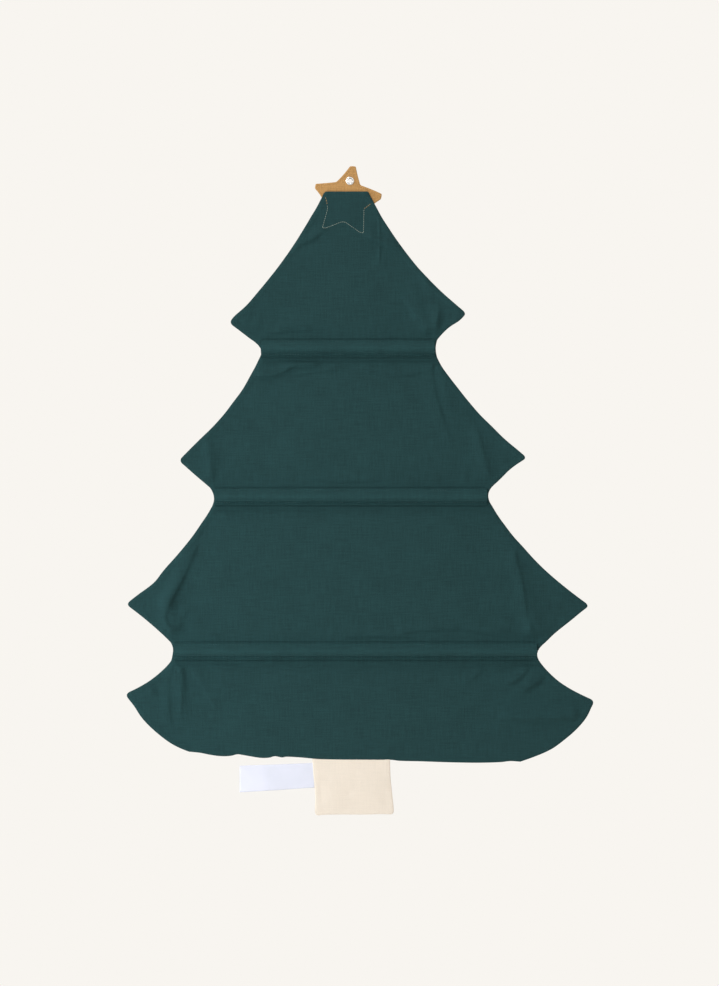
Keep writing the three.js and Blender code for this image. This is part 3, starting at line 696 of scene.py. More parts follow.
# Height from the middle of the casing, and distance back from the middle of the panel
SLEEVE_SECTION = [(11.2, 1.6), (11.28, 2.3), (10.8, 3.0), (10.0, 3.1), (9.3, 2.8), (8.4, 3.8), (7.0, 5.6),
                  (5.2, 7.8), (3.0, 9.9), (0.3, 10.8), (-2.4, 10.2), (-4.3, 8.5), (-5.3, 6.2), (-5.9, 4.2),
                  (-6.5, 2.8), (-7.3, 2.25), (-8.4, 2.25), (-9.4, 2.7), (-10.3, 3.4), (-10.95, 3.8),
                  (-11.3, 3.2), (-11.3, 1.6)]
UPPER_STITCHES, LOWER_STITCHES = (9.35, 2.85), (-8.0, 2.25)
# The strips are cut across the grain. Their canvas is the panel's painted 14% lighter, as painted light: it
# stands in for the way the cross grain reflects, and lifts the shade under the rods.
cross_cut_canvas_painted_lighter = woven("cross_cut_canvas_painted_lighter", tuple(1.14 * part for part in GREEN), 0.88,
                         yarn_gap_shade=0.25, mottle=0.3, sheen=0.08, sheen_tint=GREEN_SHEEN)

section = flowing(SLEEVE_SECTION, 0.8)
tangent = np.gradient(section, axis=0)
tangent /= np.linalg.norm(tangent, axis=1)[:, None]
inner_section = section - SLEEVE_CLOTH * np.column_stack([tangent[:, 1], -tangent[:, 0]])
inner_section[:, 1] = np.maximum(inner_section[:, 1], np.minimum(FLANGE_FLOOR, section[:, 1] - 0.2))
inner_section[:, 0] = np.clip(inner_section[:, 0], -HEM_HALF, HEM_HALF)
for casing in CASINGS:
    middle = (TIER_BOTTOMS[casing - 1] + TIER_TOPS[casing]) / 2
    ends = CASING_ENDS[casing - 1]
    left, right = ends[LEFT] - SLEEVE_INSET, -ends[RIGHT] + SLEEVE_INSET
    length = left - right
    x = across(left, right, round(length / SLEEVE_SPACING))
    faces = []
    for profile in (section, inner_section):
        height, depth = profile[:, :1] + 0 * x, profile[:, 1:] + 0 * x
        bulge = smoothstep(depth, 4, 9)
        hem_waver = (1 + unevenness(x, 0 * x + 40 * casing, 21, 41)) * smoothstep(np.abs(height), 6, 11)
        height = height - 0.22 * np.sign(height) * hem_waver
        depth = depth + 0.4 * bulge * (0.5 + 0.5 * unevenness(x, height * 2 + 50 * casing, 24, 42))
        pucker = (1 + unevenness(x, height + 70 * casing, 6, 43)) * smoothstep(np.abs(height), 11.2, 9)
        depth = depth + 0.2 * (1 - bulge) * pucker
        faces.append(np.stack([x + 0 * height, depth, middle + height], axis=2))
    sleeve = new_piece(f"casing_{casing}_sleeve", sheet_mesh(*faces), cross_cut_canvas_painted_lighter)
    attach(sleeve, f"casing_{casing}")
    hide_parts(f"casing_{casing}_strip")
    seams = [[(end, depth, middle + height) for end in (left - STITCHES_INSET, right + STITCHES_INSET)]
             for height, depth in (UPPER_STITCHES, LOWER_STITCHES)]
    seam = stitches(f"casing_{casing}_stitches", seams, green_thread)
    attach(seam, f"casing_{casing}")

# The rods: smooth round beech dowels with a fine grain, sawn to length, with their rims just broken.
# They lie loose in the casings, and slide out at the side.
ROD_CHAMFER = 0.7
ROD_SPACING = 12  # how far apart the rings of points along a rod lie


def toned(finish, pattern, *stops):
    """A colour from a pattern, which changes between two stops of a share and a colour."""
    ramp = finish.node_tree.nodes.new("ShaderNodeValToRGB")
    for stop, (share, colour) in zip(ramp.color_ramp.elements, stops):
        stop.position, stop.color = share, (*colour, 1)
    feed(ramp, {"Fac": pattern})
    return ramp.outputs["Color"]


def ranged(finish, value, low, high, start=0.0, end=1.0):
    """A value between start and end, brought to the same place between low and high."""
    limits = {"From Min": start, "From Max": end, "To Min": low, "To Max": high}
    return made_by(finish, "MapRange", {"Value": value, **limits})


def beech_wood():
    """Beech: pale brown, with a straight grain and fine short flecks along it."""
    material, shader = plain_finish("beech")
    place = made_by(material, "TexCoord", {}, "Object")
    grain = noise(material, place, 1, detail=6, stretch=(12, 260, 260))
    flecks = noise(material, place, 1, stretch=(300, 1500, 1500))
    feed(shader, {
        "Base Color": toned(material, grain, (0.32, (0.42, 0.25, 0.12)), (0.68, (0.64, 0.44, 0.25))),
        "Roughness": ranged(material, flecks, 0.42, 0.66),
        "Normal": raised(material, flecks, 0.4, 0.1),
    })
    return material


beech = beech_wood()
for casing in CASINGS:
    low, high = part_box(f"dowel_{casing}")
    length, radius = (high.x - low.x) / MM, (high.z - low.z) / MM / 2
    bm = bmesh.new()
    lying = Matrix.Translation((low + high) / 2 / MM) @ Matrix.Rotation(math.pi / 2, 4, "Y")
    bmesh.ops.create_cone(bm, cap_ends=True, segments=28, radius1=radius, radius2=radius, depth=length,
                          matrix=lying)
    rims = [edge for edge in bm.edges if abs(edge.verts[0].co.x - edge.verts[1].co.x) < 1]
    bmesh.ops.bevel(bm, geom=rims, offset=ROD_CHAMFER, affect="EDGES", segments=3, profile=0.5, material=-1)
    long_edges = [edge for edge in bm.edges if edge.calc_length() > 0.5 * length]
    bmesh.ops.subdivide_edges(bm, edges=long_edges, cuts=int(length / ROD_SPACING), use_grid_fill=False)
    rod = new_piece(f"rod_{casing}", bm, beech)
    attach(rod, f"dowel_{casing}")
    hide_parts(f"dowel_{casing}")

# The star: two layers of mustard canvas, sewn together and turned, and topstitched to the front of the
# tree's top. The bobbin side of that seam shows on the tree's back as a thin line in the star's outline.
STAR_CENTRE = np.array([2.4, -31.2])
# The two corners of each blunt point, the notch that follows it, and how hollow the edges beside it are
STAR_POINTS = [
    ((-10.6, 51.4), (-2.8, 51.9), (16.4, 29.8), (0.9, 0.9)),
    ((45.2, 27.3), (46.2, 20.8), (32.6, -8.4), (0.3, 4.2)),
    ((42.5, -36.5), (37.1, -42.1), (8.2, -29.5), (0.8, 0.8)),
    ((-17.8, -47.9), (-24.8, -44.7), (-25.2, -9.3), (0.8, 0.8)),
    ((-45.6, 6.1), (-46.8, 13.2), (-17.0, 25.4), (0.8, -0.6)),
]
STAR_MIDDLE = -2.6  # the plane between the star's two layers
STAR_INSIDE, STAR_EDGE, STAR_FACE = 0.15, 0.30, 1.15  # from that plane to a layer's inner side, edge and face
STAR_SEAM_INSET = 3.3
EYELET_HOLE = 4.05


def star_outline():
    """The star's edge, once round, about its own centre."""
    points = []
    before = STAR_POINTS[-1][2]
    for arriving, leaving, notch, hollows in STAR_POINTS:
        for start, end, hollow in ((before, arriving, hollows[0]), (leaving, notch, hollows[1])):
            middle = (np.array(start) + end) / 2
            control = middle * (1 - 2 * hollow / np.linalg.norm(middle))
            points.append(quadratic(start, control, end, 24)[:-1 if start is leaving else None])
        before = notch
    closed = np.vstack(points + [points[0][:1]])
    edge = stretch(closed, 0, reach(closed)[-1], 1.1)[:-1]
    for _ in range(2):
        edge = (np.roll(edge, 1, axis=0) + 2 * edge + np.roll(edge, -1, axis=0)) / 4
    return edge


star_edge = star_outline()
star_loop = np.vstack([star_edge, star_edge[:1]]) + STAR_CENTRE
mustard_canvas = woven("mustard_canvas", (0.465, 0.253, 0.09), 0.86, yarn_gap_shade=0.2, mottle=0.26, sheen=0.06,
                       sheen_tint=(0.9, 0.75, 0.5))
mustard_thread = thread("mustard_thread", (0.62, 0.36, 0.13))
# How far inside the edge the star's rings of points lie, and how many more there are towards its centre
STAR_RINGS = np.array([0, 0.25, 0.6, 1.0, 1.6, 2.3, 3.0, 3.8, 4.8, 6.2, 8.0])
INNER_RINGS = 9


def star_face(name, face):
    """One layer of the star, facing the wall for a face of +1, with the hole for the eyelet."""
    count, rings = len(star_edge), len(STAR_RINGS) + INNER_RINGS
    bm = bmesh.new()
    bmesh.ops.create_grid(bm, x_segments=count, y_segments=rings, size=0.5)
    for vert in bm.verts:
        column, ring = round((vert.co.x + 0.5) * count) % count, round((0.5 - vert.co.y) * rings)
        edge = star_edge[column]
        length = np.linalg.norm(edge)
        if ring < len(STAR_RINGS):
            kept = 1 - STAR_RINGS[ring] / length
        else:
            kept = (1 - STAR_RINGS[-1] / length) * (rings - ring) / (INNER_RINGS + 1)
        x, z = edge * kept + STAR_CENTRE
        vert.co = (x, 0, z)
    bmesh.ops.remove_doubles(bm, verts=bm.verts, dist=0.001)
    second = second_face(bm)
    places = np.array([vert.co for vert in bm.verts])
    margin, along, _ = nearest(star_loop, places[:, 0], places[:, 2])
    puff = 0.10 * smoothstep(margin, 3.6, 8) + 0.12 * unevenness(places[:, 0], places[:, 2], 13, 51 + face)
    pucker = 0.10 * np.sin(2 * math.pi * along / 4.6) * np.exp(-((margin - 3.2) / 2.2) ** 2)
    stitched = -0.35 * np.exp(-((margin - STAR_SEAM_INSET) / 0.8) ** 2)
    outer = STAR_EDGE + (STAR_FACE - STAR_EDGE) * rounded(margin, 1.8)
    outer = outer + (puff + pucker) * smoothstep(margin, 0.8, 3) * (0.35 if face > 0 else 1) + stitched
    if face > 0:
        outer = np.minimum(outer, STAR_FACE + 0.12)
    for vert, depth in zip(bm.verts, outer):
        vert.co.y = STAR_MIDDLE + face * (STAR_INSIDE if vert in second else float(depth))
    bmesh.ops.recalc_face_normals(bm, faces=bm.faces)
    cloth = new_piece(name, bm, mustard_canvas)
    punch_bm = bmesh.new()
    bmesh.ops.create_cone(punch_bm, cap_ends=True, segments=40, radius1=EYELET_HOLE, radius2=EYELET_HOLE,
                          depth=20, matrix=Matrix.Rotation(math.pi / 2, 4, "X"))
    punch = new_piece(name + "_punch", punch_bm, mustard_canvas)
    cut = cloth.modifiers.new("eyelet_hole", "BOOLEAN")
    cut.operation, cut.object, cut.solver = "DIFFERENCE", punch, "EXACT"
    graph = bpy.context.evaluated_depsgraph_get()
    punched = bpy.data.meshes.new_from_object(cloth.evaluated_get(graph))
    cloth.modifiers.clear()
    cloth.data = punched
    bpy.data.objects.remove(punch)
    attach(cloth, "tier_1")
    return cloth


for side_name, face in (("back", 1), ("front", -1)):
    cloth = star_face(f"star_{side_name}_canvas", face)
    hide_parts(f"star_{side_name}_cloth")


def star_seam(inset):
    """A line parallel to the star's edge, inside it."""
    tangent = np.roll(star_edge, -1, axis=0) - np.roll(star_edge, 1, axis=0)
    tangent /= np.linalg.norm(tangent, axis=1)[:, None]
    line = star_edge + inset * np.column_stack([tangent[:, 1], -tangent[:, 0]]) + STAR_CENTRE
    return line[nearest(star_loop, line[:, 0], line[:, 1])[0] > 0.93 * inset]


seam = star_seam(STAR_SEAM_INSET)
stitch_depth = STAR_FACE - 0.12
front_row = [(x, STAR_MIDDLE - stitch_depth, z) for x, z in np.vstack([seam, seam[:1]])]
# On the back only the part above the tree shows. It starts where the row comes out of the tree.
back_row = [(x, STAR_MIDDLE + stitch_depth, z) for x, z in seam if z > TREE_TOP + 1]
gap = max(range(len(back_row)), key=lambda i: math.dist(back_row[i], back_row[i - 1]))
back_row = back_row[gap:] + back_row[:gap]
star_stitches = stitches("star_stitches", [front_row, back_row], mustard_thread)
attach(star_stitches, "tier_1")

# The bobbin side on the tree's back, from the right notch round the star's lower points to the left one
TREE_SIDE_SEAM = [(34.5, -22.5), (32.5, -27), (31.5, -33), (30.8, -39), (35.5, -56), (38.2, -65.6),
                  (33, -65.5), (12, -57.2), (7, -57), (-14, -71.6), (-18.8, -72.4), (-19.3, -48),
                  (-19.5, -39), (-29, -32)]
MUSTARD_END = 14  # this many millimetres at either end show the mustard thread of the star's side
bobbin_thread = thread("bobbin_thread", (0.38, 0.42, 0.34))
seam_path = np.vstack([stretch(np.array([start, end]), 0, math.dist(start, end), 1.0)
                       for start, end in zip(TREE_SIDE_SEAM, TREE_SIDE_SEAM[1:])])
seam_x, seam_z = seam_path.T
seam_depth = outer_depth(seam_x, seam_z, 0, 1) + drape(seam_x, seam_z, 0) + 0.05
bobbin_row = [(x, depth, z) for (x, z), depth in zip(seam_path, seam_depth)]
for name, rows, finish in (
        ("tree_star_stitches", [bobbin_row[MUSTARD_END:-MUSTARD_END]], bobbin_thread),
        ("tree_star_stitch_ends", [bobbin_row[:MUSTARD_END], bobbin_row[-MUSTARD_END:]], mustard_thread)):
    made = stitches(name, rows, finish, pitch=2.9, radius=0.22)
    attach(made, "tier_1")

# The eyelet: a nickel-plated brass tube with a rolled flange on the star's front, and a washer behind it
# that the end of the tube is curled over. The hook or nail that holds the calendar goes through it.
EYELET_BORE, EYELET_BARREL, EYELET_FLANGE, EYELET_CURL = 3.3, 3.8, 5.65, 5.0
FLANGE_BACK, FLANGE_FRONT = -4.05, -4.65
CURL_FRONT, CURL_BACK = -0.35, 0.15


def nickel_plate():
    """Worn nickel plate: bright beyond the bore, and dull inside the tube, where it is painted near black as
    painted shade.
    """
    material, shader = plain_finish("nickel")
    place = made_by(material, "TexCoord", {}, "Object")
    wear = noise(material, place, 900, detail=5)
    tone = blended(material, wear, (0.70, 0.70, 0.69, 1), (0.88, 0.88, 0.87, 1))
    flat = made_by(material, "VectorMath", {0: place, 1: (1, 0, 1)}, operation="MULTIPLY")
    radius = made_by(material, "VectorMath", {0: flat}, "Value", operation="LENGTH")
    # Inside the bore the colour is painted near black, as painted shade.
    beyond_bore_painted_shade = ranged(material, radius, 0, 1, 3.75 * MM, 3.95 * MM)
    feed(shader, {
        "Base Color": blended(material, beyond_bore_painted_shade, (0.10, 0.095, 0.08, 1), tone),
        "Metallic": 1.0,
        "Roughness": ranged(material, wear, 0.18, 0.38),
    })
    return material


nickel = nickel_plate()


def turned(name, profile):
    """A nickel ring turned about the Y axis from a closed profile of radius and place along the axis."""
    bm = bmesh.new()
    verts = [bm.verts.new((radius, along, 0)) for radius, along in profile]
    edges = [bm.edges.new((a, b)) for a, b in zip(verts, verts[1:] + verts[:1])]
    bmesh.ops.spin(bm, geom=verts + edges, cent=(0, 0, 0), axis=(0, 1, 0), angle=2 * math.pi, steps=56,
                   use_merge=True)
    bmesh.ops.remove_doubles(bm, verts=bm.verts, dist=0.0005)
    bmesh.ops.recalc_face_normals(bm, faces=bm.faces)
    made = new_piece(name, bm, nickel)
    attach(made, "tier_1")
    return made


eyelet = turned("hanging_eyelet_ring", np.vstack([
    quadratic((EYELET_BORE, -3.9), (EYELET_BORE, FLANGE_FRONT), (4.2, FLANGE_FRONT), 5),
    quadratic((5.0, FLANGE_FRONT), (EYELET_FLANGE, FLANGE_FRONT), (EYELET_FLANGE, -4.3), 4),
    quadratic((EYELET_FLANGE, -4.2), (EYELET_FLANGE, FLANGE_BACK), (5.4, FLANGE_BACK), 3),
    [(EYELET_BARREL, FLANGE_BACK), (EYELET_BARREL + 0.15, CURL_FRONT), (4.8, CURL_FRONT)],
    quadratic((EYELET_CURL, CURL_FRONT), (EYELET_CURL, CURL_BACK), (4.4, CURL_BACK), 5),
    quadratic((4.2, CURL_BACK), (3.95, CURL_BACK), (3.85, -0.2), 3),
    quadratic((3.6, -1.2), (EYELET_BORE, -1.8), (EYELET_BORE, -2.6), 3),
]))
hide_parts("eyelet")
washer = turned("hanging_eyelet_washer", np.vstack([
    [(4.1, -1.15), (5.4, -1.15)],
    quadratic((EYELET_FLANGE, -1.1), (EYELET_FLANGE, -0.62), (5.15, -0.62), 4),
    [(4.7, -0.62), (4.1, -0.75)],
]))
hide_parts("eyelet_washer")

# The trunk: two layers of cream canvas, sewn and turned like the tree, and caught in the tree's lowest seam.
# Its soft filling of interlining makes it stand out a little in the middle.
TRUNK_TUCK = joint_height["trunk_fold"] + 3.2  # its raw top edge lies between the tree's two layers
TUCKED_FACE = 0.14
TRUNK_COLUMNS, TRUNK_STEP = 40, 2.2
TRUNK_SIDES = {
    LEFT: [(52.1, TRUNK_TUCK), (50.4, -825), (48.2, -851), (48.5, -868), (48.6, -873.5), (47.4, -877.4),
           (44.3, -879.0)],
    RIGHT: [(-55.4, TRUNK_TUCK), (-56.2, -825), (-57.6, -840), (-59.8, -860), (-60.7, -870), (-60.2, -875.4),
            (-57.2, -877.6)],
}
TRUNK_FOOT = [(44.3, -879.0), (34.5, -878.0), (12, -877.6), (-20, -877.7), (-44.5, -877.1), (-57.2, -877.6)]
DENTS = ((1.4, -849), (29, -828.4))  # two shallow dents in the back
trunk_sides = {side: flowing(points, 1.2) for side, points in TRUNK_SIDES.items()}
trunk_foot = flowing(TRUNK_FOOT, 2.0)
trunk_outline = np.vstack([trunk_sides[LEFT], trunk_foot[1:-1], trunk_sides[RIGHT][::-1]])
cream_canvas = woven("cream_canvas", (0.80, 0.695, 0.585), 0.88, yarn_gap_shade=0.05, mottle=0.05, sheen=0.05,
                     sheen_tint=(1, 0.95, 0.85))

lowest = foot_place(trunk_foot, 0.0)


def trunk_step(height):
    """How far apart the rows of the trunk's cloth lie: close at its foot and near its fold."""
    near_fold = 0.6 if TRUNK_TUCK - height < 6 else TRUNK_STEP
    return min(near_edge_step(height - lowest, TRUNK_STEP), near_fold)


levels = heights(TRUNK_TUCK, lowest, trunk_step)
side_feet = {side: path[-1, 1] for side, path in trunk_sides.items()}
x, z = cloth_grid(levels, trunk_sides, side_feet, TRUNK_COLUMNS, trunk_foot)
margin, along, _ = nearest(trunk_outline, x, z)
crown = 0.9 * smoothstep(margin, 2, 26) * smoothstep(TRUNK_TUCK - z, 3, 26)
pucker = seam_pucker(2 * math.pi * along / 8.5, margin, 0.14, 6)
free = smoothstep(TRUNK_TUCK - z, 3.4, 12)
# The tucked edge is pressed thin between the tree's two layers.
tucked = smoothstep(TRUNK_TUCK - z, 2.4, 0.8)
rim = seam_rim(margin, CLOTH_FACE) - 0.12 * smoothstep(margin, 2.2, 3.4) * smoothstep(margin, 8, 6.5)
for side_name, face in (("back", 1), ("front", -1)):
    soft = 0.35 * unevenness(x, z, 24, 61 + face) + 0.15 * unevenness(x, z, 9, 63 + face)
    if face > 0:
        soft = soft + sum(-0.6 * np.exp(-((x - px) ** 2 + (z - pz) ** 2) / 5 ** 2) for px, pz in DENTS)
    outer = rim + (crown + soft * smoothstep(margin, 2, 9) + pucker) * free
    outer = outer * (1 - tucked) + TUCKED_FACE * tucked
    inner = np.minimum(0.1 + 0.8 * crown, outer - 0.06)
    faces = [np.stack([x, face * depth, z], axis=2) for depth in (outer, inner)]
    cloth = new_piece(f"trunk_{side_name}_canvas", sheet_mesh(*faces), cream_canvas)
    fold = joint_height["trunk_fold"]
    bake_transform(cloth)
    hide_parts(f"trunk_{side_name}_cloth")

# The care label: one white satin ribbon folded in half, with both ends caught in the trunk's side seam.
# It slopes down a little away from the trunk, and its edges curl a little.
LABEL_PLY, LABEL_GAP = 0.32, 0.45
LABEL_COLUMNS, LABEL_ROWS = 46, 25
LABEL_BEND = LABEL_PLY + LABEL_GAP / 2  # outer radius of the fold at its far end
LABEL_ROOT, LABEL_END = 48.6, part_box("care_label")[1].x / MM
# The height of the ribbon's upper and lower edge at four places along it
LABEL_PLACES = (48.6, 100, 149.5, 151)
LABEL_UPPER, LABEL_LOWER = (-806.2, -808.3, -809.9, -810.0), (-840.2, -843.8, -846.6, -846.7)


def ribbon_satin():
    """White satin ribbon: fine ribs along it, faint clouds, a whiter far end, and a clear soft shine."""
    material, shader = plain_finish("white_ribbon")
    place = made_by(material, "UVMap", {}, uv_map="cloth")
    ribs = made_by(material, "TexWave", {"Vector": place, "Scale": 500, "Distortion": 0.4}, "Fac",
                   bands_direction="Y")
    cloud = noise(material, place, 26, detail=3)
    along = made_by(material, "SeparateXYZ", {"Vector": place}, "X")
    whiter = ranged(material, along, -0.12, 0.22, 0.112, 0.122)
    tone = made_by(material, "Math", {0: cloud, 1: whiter}, operation="ADD")
    feed(shader, {
        "Base Color": toned(material, tone, (0.25, (0.685, 0.683, 0.765)), (0.75, (0.742, 0.735, 0.83))),
        "Roughness": ranged(material, cloud, 0.36, 0.5),
        "Sheen Weight": 0.3,
        "Normal": raised(material, ribs, 0.35, 0.06),
    })
    return material


white_ribbon = ribbon_satin()
straight = LABEL_END - LABEL_BEND - LABEL_ROOT
out_along = np.linspace(0, straight, LABEL_COLUMNS)
bend_turns = np.linspace(-math.pi / 2, math.pi / 2, 11)[1:-1]
run = np.concatenate([out_along, straight + LABEL_BEND * np.cos(bend_turns), out_along[::-1]])
# Which layer a place is on: -1 in front, 1 behind, and in between round the fold
layer = np.concatenate([-np.ones(LABEL_COLUMNS), np.sin(bend_turns), np.ones(LABEL_COLUMNS)])
out, drop = np.meshgrid(run, np.linspace(0, 1, LABEL_ROWS))
x = LABEL_ROOT + out
upper, lower = np.interp(x, LABEL_PLACES, LABEL_UPPER), np.interp(x, LABEL_PLACES, LABEL_LOWER)
z = upper + drop * (lower - upper)
free = smoothstep(x, 53, 75)
curl = 1.1 * (2 * drop - 1) ** 2 * free * smoothstep(x, 75, 150) + 0.5 * unevenness(x, z, 30, 71) * free
ease = 0.25 * (1 + unevenness(x, z, 26, 72)) * free * smoothstep(LABEL_END - x, 0, 12)
inner_x = np.where(out > straight, LABEL_ROOT + straight + (out - straight) * (LABEL_GAP / 2) / LABEL_BEND, x)
faces = [np.stack([place, curl + layer * (radius + ease), z], axis=2)
         for place, radius in ((x, LABEL_BEND), (inner_x, LABEL_GAP / 2))]
label = new_piece("ribbon_label", sheet_mesh(*faces), white_ribbon)
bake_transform(label)
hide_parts("care_label")

# The pockets: twenty-four patches of the same canvas on the front, each with a hemmed mouth and its other
# three edges turned in and topstitched.
# They stand open enough for a small gift, and carry the plain numbers 1 to 24.
POCKET_HALF, POCKET_HEIGHT, POCKET_DEPTH = 33.0, 60.0, 8.0
POCKET_SEAM = 0.93  # the seam lies at this share of its half width and of its height
POCKET_FLAT = -1.45
HEM, SEAM_INSET, HEM_INSET = 9.0, 2.3, 1.6  # the hem's width, and how far inside the edges the stitches lie
POCKET_CLOTH = 0.95
NUMBER_SIZE, NUMBER_PLACE = 27.0, 0.47  # the numbers stand at this share of a pocket's height
number_print = woven("number_print", (0.80, 0.70, 0.52), 0.8, yarn_gap_shade=0.12, mottle=0.06, sheen=0.1)
body_of = {node: body for body, nodes in frame["record"]["behaviour"]["bodies"].items() for node in nodes}

# Shares of a pocket's width and height at which its points lie, close together at its edges and its hem
beside_seam = np.array([0.9, 0.93, 0.95, 0.975, 0.992, 1])
POCKET_ACROSS = np.concatenate([-beside_seam[::-1], np.linspace(-0.85, 0.85, 21), beside_seam])
beside_hem = [0, 0.008, 0.025, 0.05, 0.09, 0.13, 0.147, 0.158, 0.19]
POCKET_DOWN = np.concatenate([beside_hem, np.linspace(0.24, 0.86, 14), beside_seam])
u, v = np.meshgrid(POCKET_ACROSS, POCKET_DOWN)
lip = v * POCKET_HEIGHT
rim = np.minimum((1 - np.abs(u)) * POCKET_HALF, (1 - v) * POCKET_HEIGHT)
edge = rounded(np.minimum(rim, lip), 0.7)
turned_edge = 0.35 * smoothstep(rim, 6, 4.6) - 0.3 * np.exp(-((rim - SEAM_INSET) / 0.7) ** 2)
hem = 0.35 * smoothstep(lip, HEM + 0.7, HEM - 0.2) - 0.3 * np.exp(-((lip - HEM + HEM_INSET) / 0.6) ** 2)
gathered = smoothstep(np.minimum(rim, np.abs(lip - HEM)), 6, 0)
# The rows of stitches round three sides and under the mouth, from the middle of the mouth
seam_half, seam_foot = POCKET_HALF - SEAM_INSET, SEAM_INSET - POCKET_HEIGHT
hem_half, hem_row = POCKET_HALF - 3, HEM_INSET - HEM
seam_row = [(seam_half, -1), (seam_half, seam_foot), (-seam_half, seam_foot), (-seam_half, -1)]
stitch_rows = [stretch(row, 0, reach(row)[-1], STITCH_PITCH / 2)
               for row in (seam_row, [(hem_half, hem_row), (-hem_half, hem_row)])]


def belly(across_share, down_share, day):
    """How far a pocket's cloth stands out from the panel."""
    sides = np.clip(1 - (np.abs(across_share) / POCKET_SEAM) ** 5, 0, 1)
    depth = np.clip(1 - (down_share / POCKET_SEAM) ** 4, 0, 1)
    sag = 0.75 + 0.25 * smoothstep(down_share, 0, 0.35)
    x, z = across_share * POCKET_HALF, down_share * POCKET_HEIGHT
    ripple = 0.5 * unevenness(x, z + 80 * day, 16, 80 + day)
    return (POCKET_DEPTH * sag - 0.6 + ripple) * sides * depth


def on_pocket(day, x, z, proud=0.0):
    """The depth of something that lies on a pocket, at a place measured from the middle of its mouth."""
    return POCKET_FLAT - float(belly(-x / POCKET_HALF, -z / POCKET_HEIGHT, day)) - POCKET_CLOTH - proud


def number_mesh(day):
    """The number of a day in millimetres, cut into bands so that it can follow the cloth."""
    font = bpy.data.curves.new(f"number_{day:02d}", "FONT")
    font.body = str(day)
    font.align_x, font.align_y = "CENTER", "CENTER"
    font.size = NUMBER_SIZE
    font.offset = 0.25
    font.extrude = 0.14
    font.bevel_depth = 0.08
    font.resolution_u = 6
    text = bpy.data.objects.new(f"number_{day:02d}_text", font)
    bpy.context.scene.collection.objects.link(text)
    graph = bpy.context.evaluated_depsgraph_get()
    bm = bmesh.new()
    bm.from_mesh(bpy.data.meshes.new_from_object(text.evaluated_get(graph)))
    bpy.data.objects.remove(text)
    bmesh.ops.remove_doubles(bm, verts=bm.verts, dist=0.01)
    for level in np.arange(-12, 13, 3.0):
        bmesh.ops.bisect_plane(bm, geom=bm.verts[:] + bm.edges[:] + bm.faces[:], plane_co=(0, level, 0),
                               plane_no=(0, 1, 0))
    return bm


for day in range(1, 25):
    node = f"pocket_{day:02d}"
    body = body_of[node]
    low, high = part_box(node)
    centre, top = (low.x + high.x) / 2 / MM, high.z / MM
    x, z = centre - u * POCKET_HALF, top - lip
    stand = belly(u, v, day)
    pucker = 0.12 * unevenness(x * 3, z * 3, 9, 90 + day) * gathered
    thickness = 0.35 + 0.6 * edge + (turned_edge + hem + pucker) * edge
    faces = [np.stack([x, POCKET_FLAT - stand - depth, z], axis=2) for depth in (thickness, 0 * x)]
    pocket = new_piece(f"day_{node}", sheet_mesh(*faces), green_canvas)
    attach(pocket, body)
    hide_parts(node)

    rows = [[(centre + px, on_pocket(day, px, pz), top + pz) for px, pz in row] for row in stitch_rows]
    sewn = stitches(f"{node}_stitches", rows, green_thread)
    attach(sewn, body)

    bm = number_mesh(day)
    for vert in bm.verts:
        px, pz, proud = vert.co.x, vert.co.y - NUMBER_PLACE * POCKET_HEIGHT, vert.co.z
        vert.co = (centre + px, on_pocket(day, px, pz, proud + 0.1), top + pz)
    bmesh.ops.recalc_face_normals(bm, faces=bm.faces)
    number = new_piece(f"number_{day:02d}", bm, number_print)
    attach(number, body)

# The studio: a plain pale floor, a pale surround, soft round lamps above the left of the wall side and
# others for the front, and the camera square to the back at the height of the middle of the picture.
PICTURE_SCALE = 1.385 * MM  # metres for each pixel in the plane of the tree
PICTURE_HEIGHT = 986 * PICTURE_SCALE
CAMERA_DISTANCE, SENSOR = 4.0, 36
VIEW_CENTRE = (-0.0133, -0.4324)
AIM = Vector((0, 0, -0.45))  # the place that every lamp points at
SURROUND = (0.939, 0.913, 0.871)

camera_data = bpy.data.cameras.new("camera")
camera_data.sensor_width = SENSOR
camera_data.lens = SENSOR * CAMERA_DISTANCE / PICTURE_HEIGHT
camera = bpy.data.objects.new("camera", camera_data)
camera.location = (VIEW_CENTRE[0], CAMERA_DISTANCE, VIEW_CENTRE[1])
camera.rotation_euler = (math.pi / 2, 0, math.pi)
bpy.context.scene.collection.objects.link(camera)
bpy.context.scene.camera = camera

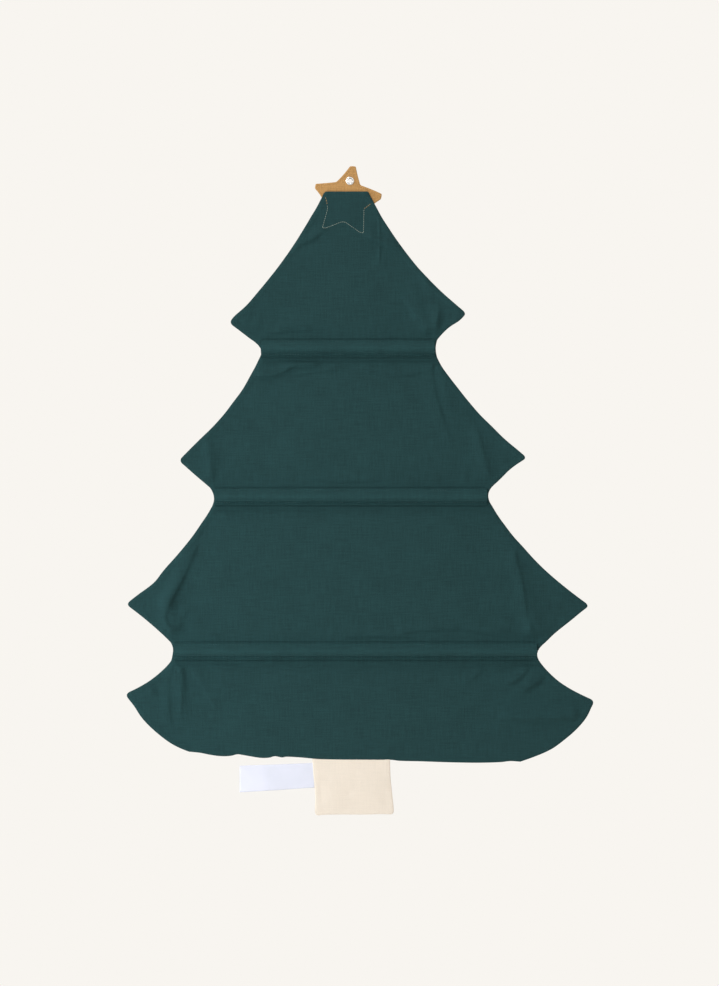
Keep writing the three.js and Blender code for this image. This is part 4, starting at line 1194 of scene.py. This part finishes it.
floor_paint, floor_shader = plain_finish("floor_paint")
feed(floor_shader, {"Base Color": (0.86, 0.84, 0.80, 1), "Roughness": 0.9})
floor_bm = bmesh.new()
bmesh.ops.create_grid(floor_bm, x_segments=1, y_segments=1, size=1000,
                      matrix=Matrix.Translation((0, 900, -1350)) @ Matrix.Diagonal((2.6, 2.1, 1, 1)))
new_piece("floor", floor_bm, floor_paint)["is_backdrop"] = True

world = bpy.data.worlds.new("studio")
world.use_nodes = True
bpy.context.scene.world = world
seen = world.node_tree.nodes["Background"]
feed(seen, {"Color": (*SURROUND, 1), "Strength": 1.0})
lit = made_by(world, "Background", {"Color": (0.98, 0.99, 1.0, 1), "Strength": 0.353})
camera_ray = made_by(world, "LightPath", {}, "Is Camera Ray")
glossy_ray = made_by(world, "LightPath", {}, "Is Glossy Ray")
plain = made_by(world, "Math", {0: camera_ray, 1: glossy_ray}, operation="MAXIMUM")
studio_light = made_by(world, "MixShader", {"Fac": plain, 1: lit, 2: seen.outputs["Background"]})
feed(world.node_tree.nodes["World Output"], {"Surface": studio_light})

LAMPS = [
    ("key", (1.8, 2.2, 0.75), 0.7, 45, (0.99, 0.99, 1.0)),
    ("top", (0.9, 1.2, 2.4), 0.6, 31, (0.99, 0.99, 1.0)),
    ("side", (1.1, 0.55, -0.8), 0.5, 6.4, (0.72, 0.9, 1.0)),
    ("fill", (-1.9, 2.4, -0.6), 1.8, 5, (1.0, 0.985, 0.965)),
    ("front", (-1.8, -2.3, 0.75), 0.8, 60, (1.0, 0.985, 0.965)),
    ("front top", (-0.9, -1.2, 2.4), 0.5, 33.5, (0.99, 0.99, 1.0)),
]
for name, place, size, power, colour in LAMPS:
    lamp_data = bpy.data.lights.new(name, "AREA")
    lamp_data.shape, lamp_data.size = "DISK", size
    lamp_data.energy, lamp_data.color = power, colour
    lamp = bpy.data.objects.new(name, lamp_data)
    lamp.location = place
    lamp.rotation_euler = (AIM - Vector(place)).to_track_quat("-Z", "Y").to_euler()
    bpy.context.scene.collection.objects.link(lamp)

bpy.context.scene.view_settings.view_transform = "Standard"
bpy.context.scene.view_settings.look = "None"

low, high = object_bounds()
